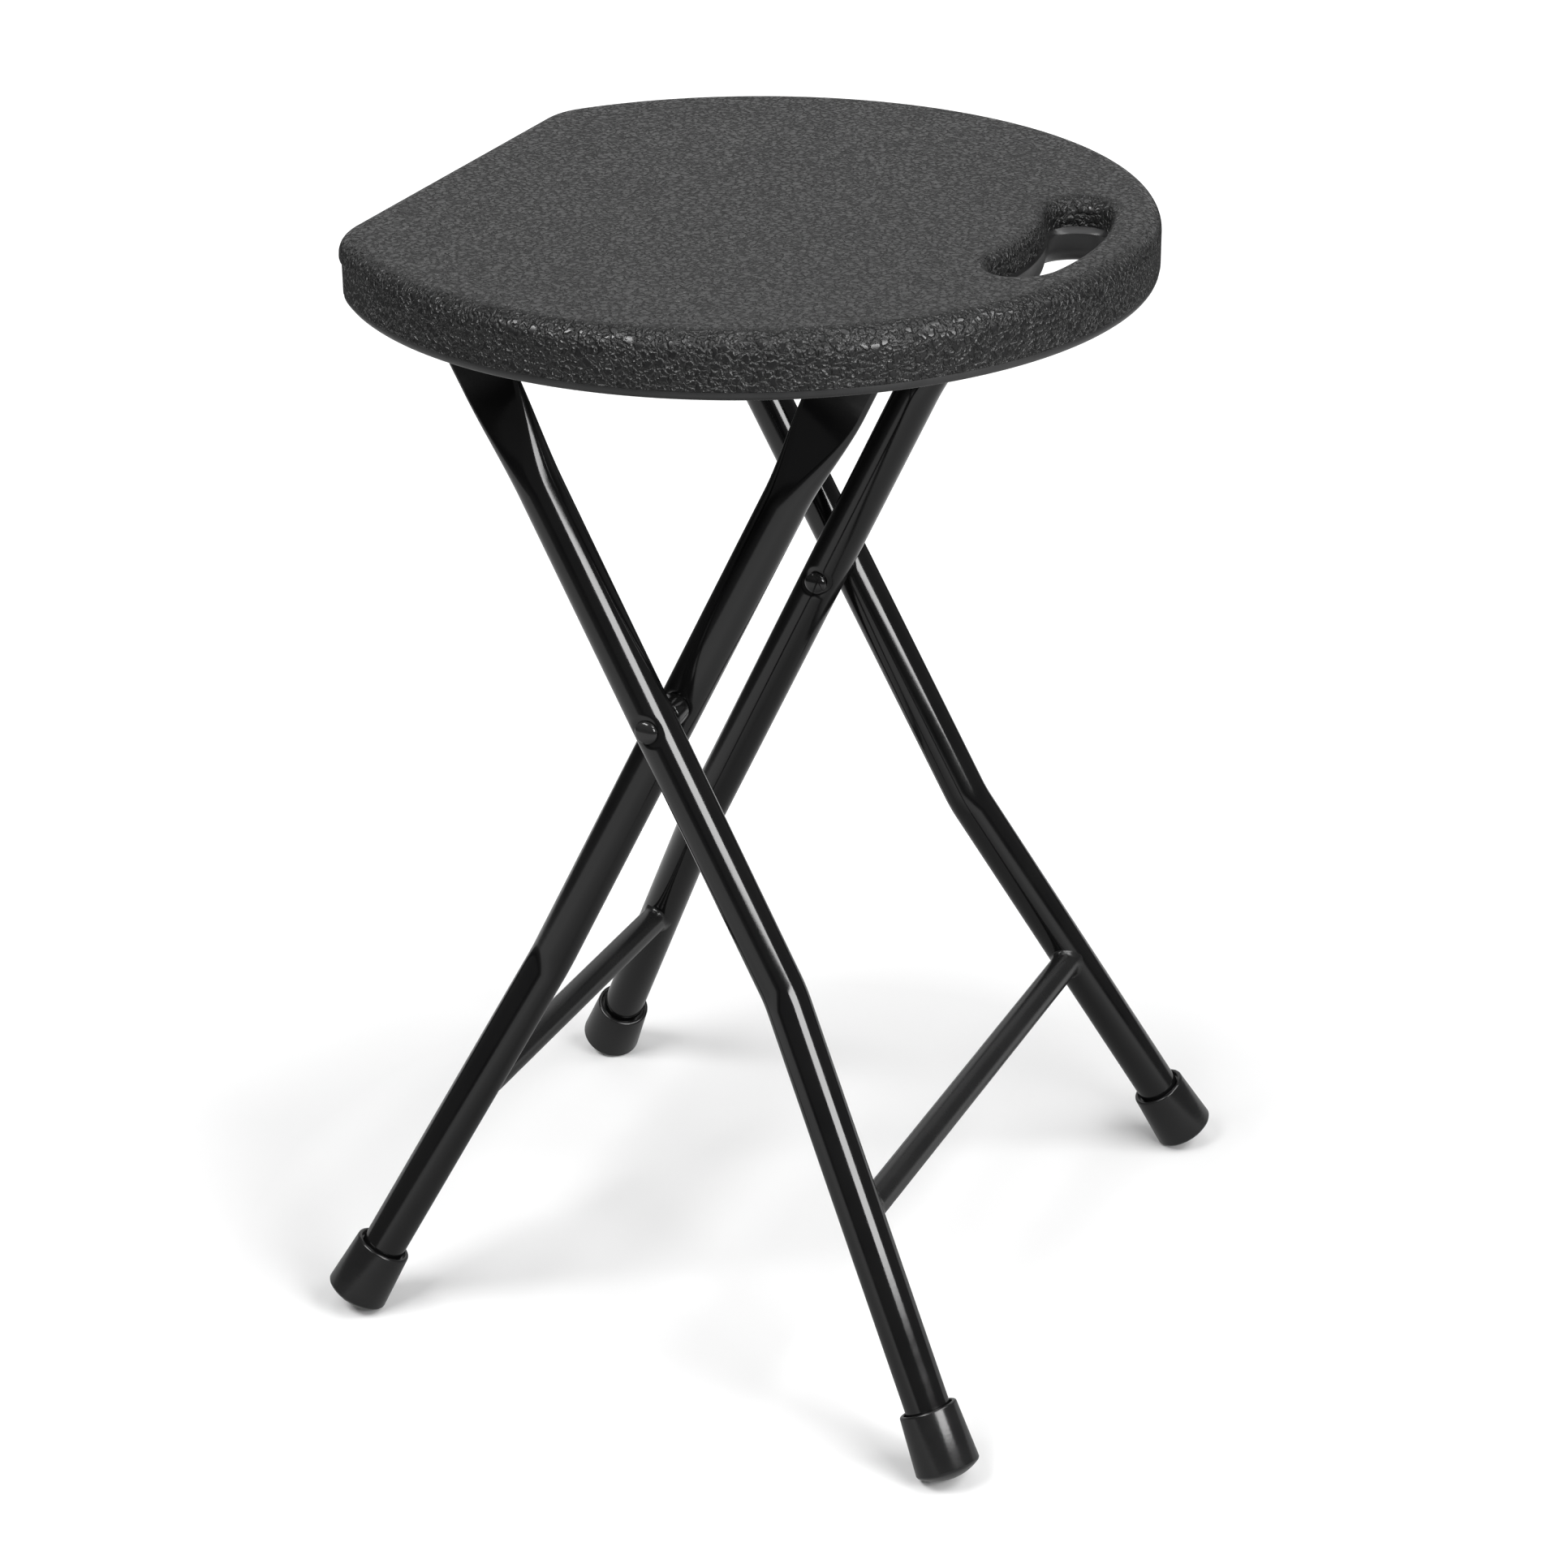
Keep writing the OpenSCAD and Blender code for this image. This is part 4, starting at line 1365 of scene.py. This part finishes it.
@dataclass
class UnderSeat:
    """Hinge brackets, rest clips and their screws."""

    places: Places
    palette: Palette
    plate: float = 2.0 * MM
    ear_gap: float = 2.1 * MM
    ear_radius: float = 7.0 * MM
    ear_slot: float = 14.5 * MM
    corner: float = 3.0 * MM
    edge: float = 0.35 * MM
    clip_bore: float = 4.3 * MM
    clip_mouth: float = 4.15 * MM
    clip_wall: float = 4.0 * MM
    clip_lip: float = 5.0 * MM
    clip_exit: float = math.radians(27)
    clip_chamfer: float = 1.0 * MM
    clip_lead: float = 0.6 * MM
    rib_height: float = 5.0 * MM
    rib_length: float = 7.0 * MM
    rib_half: float = 1.0 * MM
    rib_edge: float = 0.2 * MM
    screw_radius: float = 2.0 * MM
    screw_length: float = 8.0 * MM
    screw_head: float = 4.0 * MM
    screw_profile: tuple[Point, ...] = ((0.2 * MM, 0.0), (0.0, 0.25 * MM), (0.0, 0.9 * MM),
                                        (0.35 * MM, 1.6 * MM), (1.1 * MM, 2.15 * MM), (1.5 * MM, 2.4 * MM))
    screw_edge: float = 5.0 * MM
    screw_turn: float = 37.0
    cross_arm: float = 2.1 * MM
    cross_half: float = 0.55 * MM
    cross_depth: float = 1.2 * MM
    cross_taper: float = 0.8

    def build(self) -> None:
        """Builds both sides and the screws."""
        for side in Side:
            self.bracket(side)
            self.clip(side)
        self.screws()

    def bracket(self, side: Side) -> None:
        """Builds a hinge bracket: a slotted plate and two ears round the rod.

        Args:
            side: Which side of the stool.
        """
        name = f"hinge_bracket_{side.label}"
        low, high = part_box("hinge_bracket_rear")
        middle_y = (low.y + high.y) / 2
        half = (high.y - low.y) / 2
        rod_x, rod_z = self.places.hinge.x, self.places.hinge.z
        slot_end = rod_x + self.ear_slot
        corner, gap = self.corner, self.ear_gap
        plan = arc((high.x - corner, half - corner), corner, 0, 90, 4)
        plan += arc((low.x + corner, half - corner), corner, 90, 180, 4)
        plan += [(low.x, gap), (slot_end - gap, gap)]
        plan += arc((slot_end - gap, 0.0), gap, 90, -90, 8)[1:-1]
        plan += [(slot_end - gap, -gap), (low.x, -gap)]
        plan += arc((low.x + corner, -half + corner), corner, 180, 270, 4)
        plan += arc((high.x - corner, -half + corner), corner, 270, 360, 4)
        lift = Matrix.Translation((0, middle_y, 0))
        parts = [slab(plan, high.z - self.plate, high.z, self.edge, mirrored(side) @ lift)]
        ear = arc((rod_x, -rod_z), self.ear_radius, 0, 180, 16)
        ear_top = -(high.z - self.plate / 2)
        ear += [(rod_x - self.ear_radius, ear_top), (rod_x + self.ear_radius, ear_top)]
        for start in (gap, -gap - self.plate):
            parts.append(slab(ear, start, start + self.plate, self.edge, mirrored(side) @ lift @ ALONG_Y))
        finish_piece(f"{name}_steel", merged(parts), Body.SEAT, [FinishName.BRACKET], self.palette, [name])

    def clip(self, side: Side) -> None:
        """Builds a rest clip: a foot with a saddle that drops over the rest rod.

        Args:
            side: Which side of the stool.
        """
        name = f"rest_clip_{side.label}"
        low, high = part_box("rest_clip_rear")
        middle_y = (low.y + high.y) / 2
        half = (high.y - low.y) / 2
        rod_x, rod_z = self.places.rest.x, self.places.rest.z
        foot_z = high.z - self.plate
        body = self.clip_bore + self.clip_wall
        exit_x, exit_z = -math.sin(self.clip_exit), -math.cos(self.clip_exit)
        across = (math.cos(self.clip_exit), -math.sin(self.clip_exit))
        near = (-across[0] * self.clip_mouth, -across[1] * self.clip_mouth)
        reach = (-body - near[0]) / exit_x
        start = math.degrees(math.atan2(near[1], near[0])) % 360
        chamfer, lead, lip = self.clip_chamfer, self.clip_lead, -self.clip_lip
        section = [(body, high.z - rod_z), (body, lip + chamfer), (body - chamfer, lip)]
        section += [(self.clip_mouth + lead, lip), (self.clip_mouth, lip + lead)]
        section += arc((0.0, 0.0), self.clip_bore, -12, start, 20)
        section += [(-body, near[1] + exit_z * reach), (-body, high.z - rod_z)]
        saddle_place = (mirrored(side) @ Matrix.Translation((rod_x, middle_y, rod_z))
                        @ Matrix.Rotation(math.pi / 2, 4, "X"))
        plan = rounded_box((high.x - low.x, 2 * half), self.corner)
        foot_place = mirrored(side) @ Matrix.Translation(((low.x + high.x) / 2, middle_y, 0))
        parts = [slab(section, -half, half, self.edge, saddle_place),
                 slab(plan, foot_z, high.z, self.edge, foot_place)]
        rib_top, rib_foot = foot_z - rod_z + self.rib_edge, foot_z - rod_z - self.rib_height
        for way in (-1, 1):
            rib = [(way * body, rib_top), (way * (body + self.rib_length), rib_top), (way * body, rib_foot)]
            parts.append(slab(rib, -self.rib_half, self.rib_half, self.rib_edge, saddle_place))
        finish_piece(f"{name}_nylon", merged(parts), Body.SEAT, [FinishName.CLIP], self.palette, [name])

    def screws(self) -> None:
        """Builds the pan-head screws of the brackets and of the clips."""
        low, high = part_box("hinge_bracket_rear")
        middle_y, reach = (low.y + high.y) / 2, (high.y - low.y) / 2 - self.screw_edge
        bracket = [(x, side.value * (middle_y + way * reach)) for side in Side for way in (-1, 1)
                   for x in (self.places.hinge.x, high.x - self.screw_edge)]
        low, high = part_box("rest_clip_rear")
        clip = [(x, side.value * (low.y + high.y) / 2) for side in Side
                for x in (low.x + self.screw_edge, high.x - self.screw_edge)]
        for name, spots in (("bracket_screws", bracket), ("clip_screws", clip)):
            mesh = merged(self.screw(x, y, self.screw_turn * i) for i, (x, y) in enumerate(spots))
            finish_piece(f"{name}_heads", mesh, Body.SEAT, [FinishName.SCREW], self.palette, [name])

    def screw(self, x: float, y: float, turn: float) -> bmesh.types.BMesh:
        """Builds one screw, head down, with a cross in its head.

        Args:
            x: Its place along X.
            y: Its place along Y.
            turn: How far the cross is turned, in degrees.

        Returns:
            The mesh, in place.
        """
        arm, wide, taper = self.cross_arm, self.cross_half, self.cross_taper
        height = self.screw_profile[-1][1]
        mesh = bmesh.new()

        def ring(radius: float, drop: float) -> list[Vector]:
            """Points round the screw at one height."""
            return [Vector((px, py, -drop)) for px, py in arc((0, 0), radius, 0, 360, 32)[:-1]]

        loft = Loft(mesh, ring(self.screw_radius, -self.screw_length))
        loft.close_first()
        loft.to(ring(self.screw_radius, 0.0))
        for inset, drop in self.screw_profile:
            loft.to(ring(self.screw_head - inset, drop))
        cross = [(arm, wide), (wide, wide), (wide, arm), (-wide, arm), (-wide, wide), (-arm, wide),
                 (-arm, -wide), (-wide, -wide), (-wide, -arm), (wide, -arm), (wide, -wide), (arm, -wide)]
        pit = Loft(mesh, [Vector((px, py, -height)) for px, py in cross])
        rim = pit.first
        pit.to([Vector((px * taper, py * taper, self.cross_depth - height)) for px, py in cross])
        pit.close()
        bmesh.ops.triangle_fill(mesh, use_beauty=True, use_dissolve=False, edges=loft.edges() + rim)
        spot = Matrix.Translation((x, y, self.places.seat_low - self.plate))
        mesh.transform(spot @ Matrix.Rotation(math.radians(turn), 4, "Z"))
        return mesh


# --------------------------------------------------------------------------------------------------
# Studio


@dataclass(frozen=True)
class Lamp:
    """A rectangular lamp. Its radiance says how bright its face looks, 1 being white."""

    name: str
    spot: tuple[float, float, float]
    size: Point
    radiance: float


LAMPS = (
    Lamp("overhead", (0.0, 0.1, 2.4), (1.5, 1.5), 1.8),
    Lamp("backdrop", (-0.9, 2.0, 0.95), (3.2, 1.5), 0.5),
    Lamp("right_box", (0.80, -0.43, 0.55), (0.5, 0.3), 13.0),
    Lamp("left_high", (-0.6, -1.05, 1.69), (1.2, 0.55), 15.0),
    Lamp("right_high", (1.2, 0.02, 1.66), (1.3, 0.7), 8.0),
)


@dataclass
class Studio:
    """Floor, lights and camera."""

    pivot: Vector
    azimuth: float = math.radians(23.922)
    elevation: float = math.radians(25.116)
    roll: float = math.radians(-0.482)
    distance: float = 1.6137
    shift_right: float = 0.01083
    shift_up: float = -0.05998
    lens: float = 91.70
    sensor: float = 36.0
    view_reach: float = 50.0
    floor_half: float = 9.0
    floor_roughness: float = 0.9
    floor_specular: float = 0.1
    floor_albedo: float = 0.1
    room_light: float = 0.12
    eye_albedo: float = 0.76
    eye_glow: float = 0.04
    glow_edge: tuple[float, float] = (0.23, 0.4)
    glow_outside: float = 0.42
    glow_far: tuple[float, float] = (0.7, 2.2)
    glow_added: float = 0.45
    mirror_glow: float = 0.62
    mirror_edge: tuple[float, float] = (1.0, 1.15)
    mirror_shade: tuple[float, float] = (0.12, 0.45)
    mirror_least: float = 0.3

    def build(self) -> None:
        """Builds the whole studio."""
        self.floor()
        self.world()
        for lamp in LAMPS:
            self.lamp(lamp)
        self.camera()
        bpy.context.scene.view_settings.view_transform = "Standard"

    def camera(self) -> None:
        """Stands the camera where it looks down on the stool from the front right."""
        a, e = self.azimuth, self.elevation
        back = Vector((math.sin(a) * math.cos(e), -math.cos(a) * math.cos(e), math.sin(e)))
        right = Vector((math.cos(a), math.sin(a), 0.0))
        up = back.cross(right)
        spot = self.pivot + back * self.distance + right * self.shift_right + up * self.shift_up
        data = bpy.data.cameras.new("camera")
        data.lens = self.lens
        data.sensor_width = self.sensor
        data.clip_end = self.view_reach
        camera = bpy.data.objects.new("camera", data)
        across = right * math.cos(self.roll) + up * math.sin(self.roll)
        above = up * math.cos(self.roll) - right * math.sin(self.roll)
        camera.matrix_world = Matrix.Translation(spot) @ Matrix((across, above, back)).transposed().to_4x4()
        bpy.context.scene.collection.objects.link(camera)
        bpy.context.scene.camera = camera

    def floor(self) -> None:
        """Lays a wide pale floor that looks darker in reflections than to the eye."""
        mesh = bmesh.new()
        bmesh.ops.create_grid(mesh, x_segments=1, y_segments=1, size=self.floor_half)
        data = bpy.data.meshes.new("floor")
        mesh.to_mesh(data)
        mesh.free()
        floor = bpy.data.objects.new("floor", data)
        bpy.context.scene.collection.objects.link(floor)
        material = bpy.data.materials.new("floor")
        material.use_nodes = True
        wiring = Wiring(material.node_tree)
        shader = material.node_tree.nodes["Principled BSDF"]
        shader.inputs["Roughness"].default_value = self.floor_roughness
        shader.inputs["Specular IOR Level"].default_value = self.floor_specular
        shader.inputs["Emission Color"].default_value = (1.0, 1.0, 1.0, 1.0)
        ray = wiring.add("LightPath")
        place = wiring.add("TexCoord")
        length = wiring.add("VectorMath", operation="LENGTH")
        wiring.join(place.outputs["Object"], length.inputs[0])
        reach, eye = length.outputs["Value"], ray.outputs["Is Camera Ray"]
        near = wiring.spread(reach, *self.mirror_edge, 1.0, 0.0)
        shade = wiring.spread(reach, *self.mirror_shade, self.mirror_least, 1.0)
        mirror = wiring.math("MULTIPLY", ray.outputs["Is Glossy Ray"], wiring.math("MULTIPLY", near, shade))
        inner = wiring.spread(reach, *self.glow_edge, self.eye_glow, self.glow_outside)
        outer = wiring.spread(reach, *self.glow_far, 0.0, self.glow_added)
        seen = wiring.math("MULTIPLY", eye, wiring.math("ADD", inner, outer))
        glow = wiring.math("ADD", seen, wiring.math("MULTIPLY", mirror, self.mirror_glow))
        wiring.join(glow, shader.inputs["Emission Strength"])
        mix = wiring.add("Mix", data_type="RGBA")
        mix.inputs["A"].default_value = (*[self.floor_albedo] * 3, 1.0)
        mix.inputs["B"].default_value = (*[self.eye_albedo] * 3, 1.0)
        wiring.join(eye, mix.inputs["Factor"])
        wiring.join(mix.outputs["Result"], shader.inputs["Base Color"])
        data.materials.append(material)

    def world(self) -> None:
        """Fills the room with dim even light, and shows its walls white."""
        world = bpy.data.worlds.new("room")
        world.use_nodes = True
        background = world.node_tree.nodes["Background"]
        background.inputs["Color"].default_value = (1.0, 1.0, 1.0, 1.0)
        wiring = Wiring(world.node_tree)
        eye = wiring.add("LightPath").outputs["Is Camera Ray"]
        wiring.join(wiring.spread(eye, 0.0, 1.0, self.room_light, 1.0), background.inputs["Strength"])
        bpy.context.scene.world = world

    def lamp(self, lamp: Lamp) -> None:
        """Hangs one lamp so that it looks at the middle of the stool.

        Args:
            lamp: The lamp.
        """
        width, height = lamp.size
        data = bpy.data.lights.new(lamp.name, "AREA")
        data.shape = "RECTANGLE"
        data.size, data.size_y = width, height
        data.energy = lamp.radiance * math.pi * width * height
        hung = bpy.data.objects.new(lamp.name, data)
        hung.location = lamp.spot
        hung.rotation_mode = "QUATERNION"
        hung.rotation_quaternion = (self.pivot - Vector(lamp.spot)).to_track_quat("-Z", "Y")
        bpy.context.scene.collection.objects.link(hung)


def main() -> None:
    """Builds the stool and its studio."""
    logging.basicConfig(level=logging.INFO, format="%(name)s: %(message)s")
    palette = Palette()
    places = Places.read()
    outer = LegFrame("outer", Body.OUTER, -1.0, places.hinge, places, palette, half_width=94.9 * MM,
                     lean=math.radians(1.4), splay=math.radians(13.7), bend=118.4 * MM,
                     rod_name="hinge_rod", cap_name="hinge_cap")
    inner = LegFrame("inner", Body.INNER, 1.0, places.rest, places, palette, half_width=69.3 * MM,
                     lean=math.radians(1.8), splay=math.radians(16.2), bend=136.7 * MM,
                     rod_name="rest_rod", cap_name="rest_cap")
    for leg_frame in (outer, inner):
        leg_frame.build()
    Pivots(places, palette).build()
    Seat(palette).build()
    UnderSeat(places, palette).build()
    Studio(places.pivot).build()


if __name__ == "__main__":
    main()
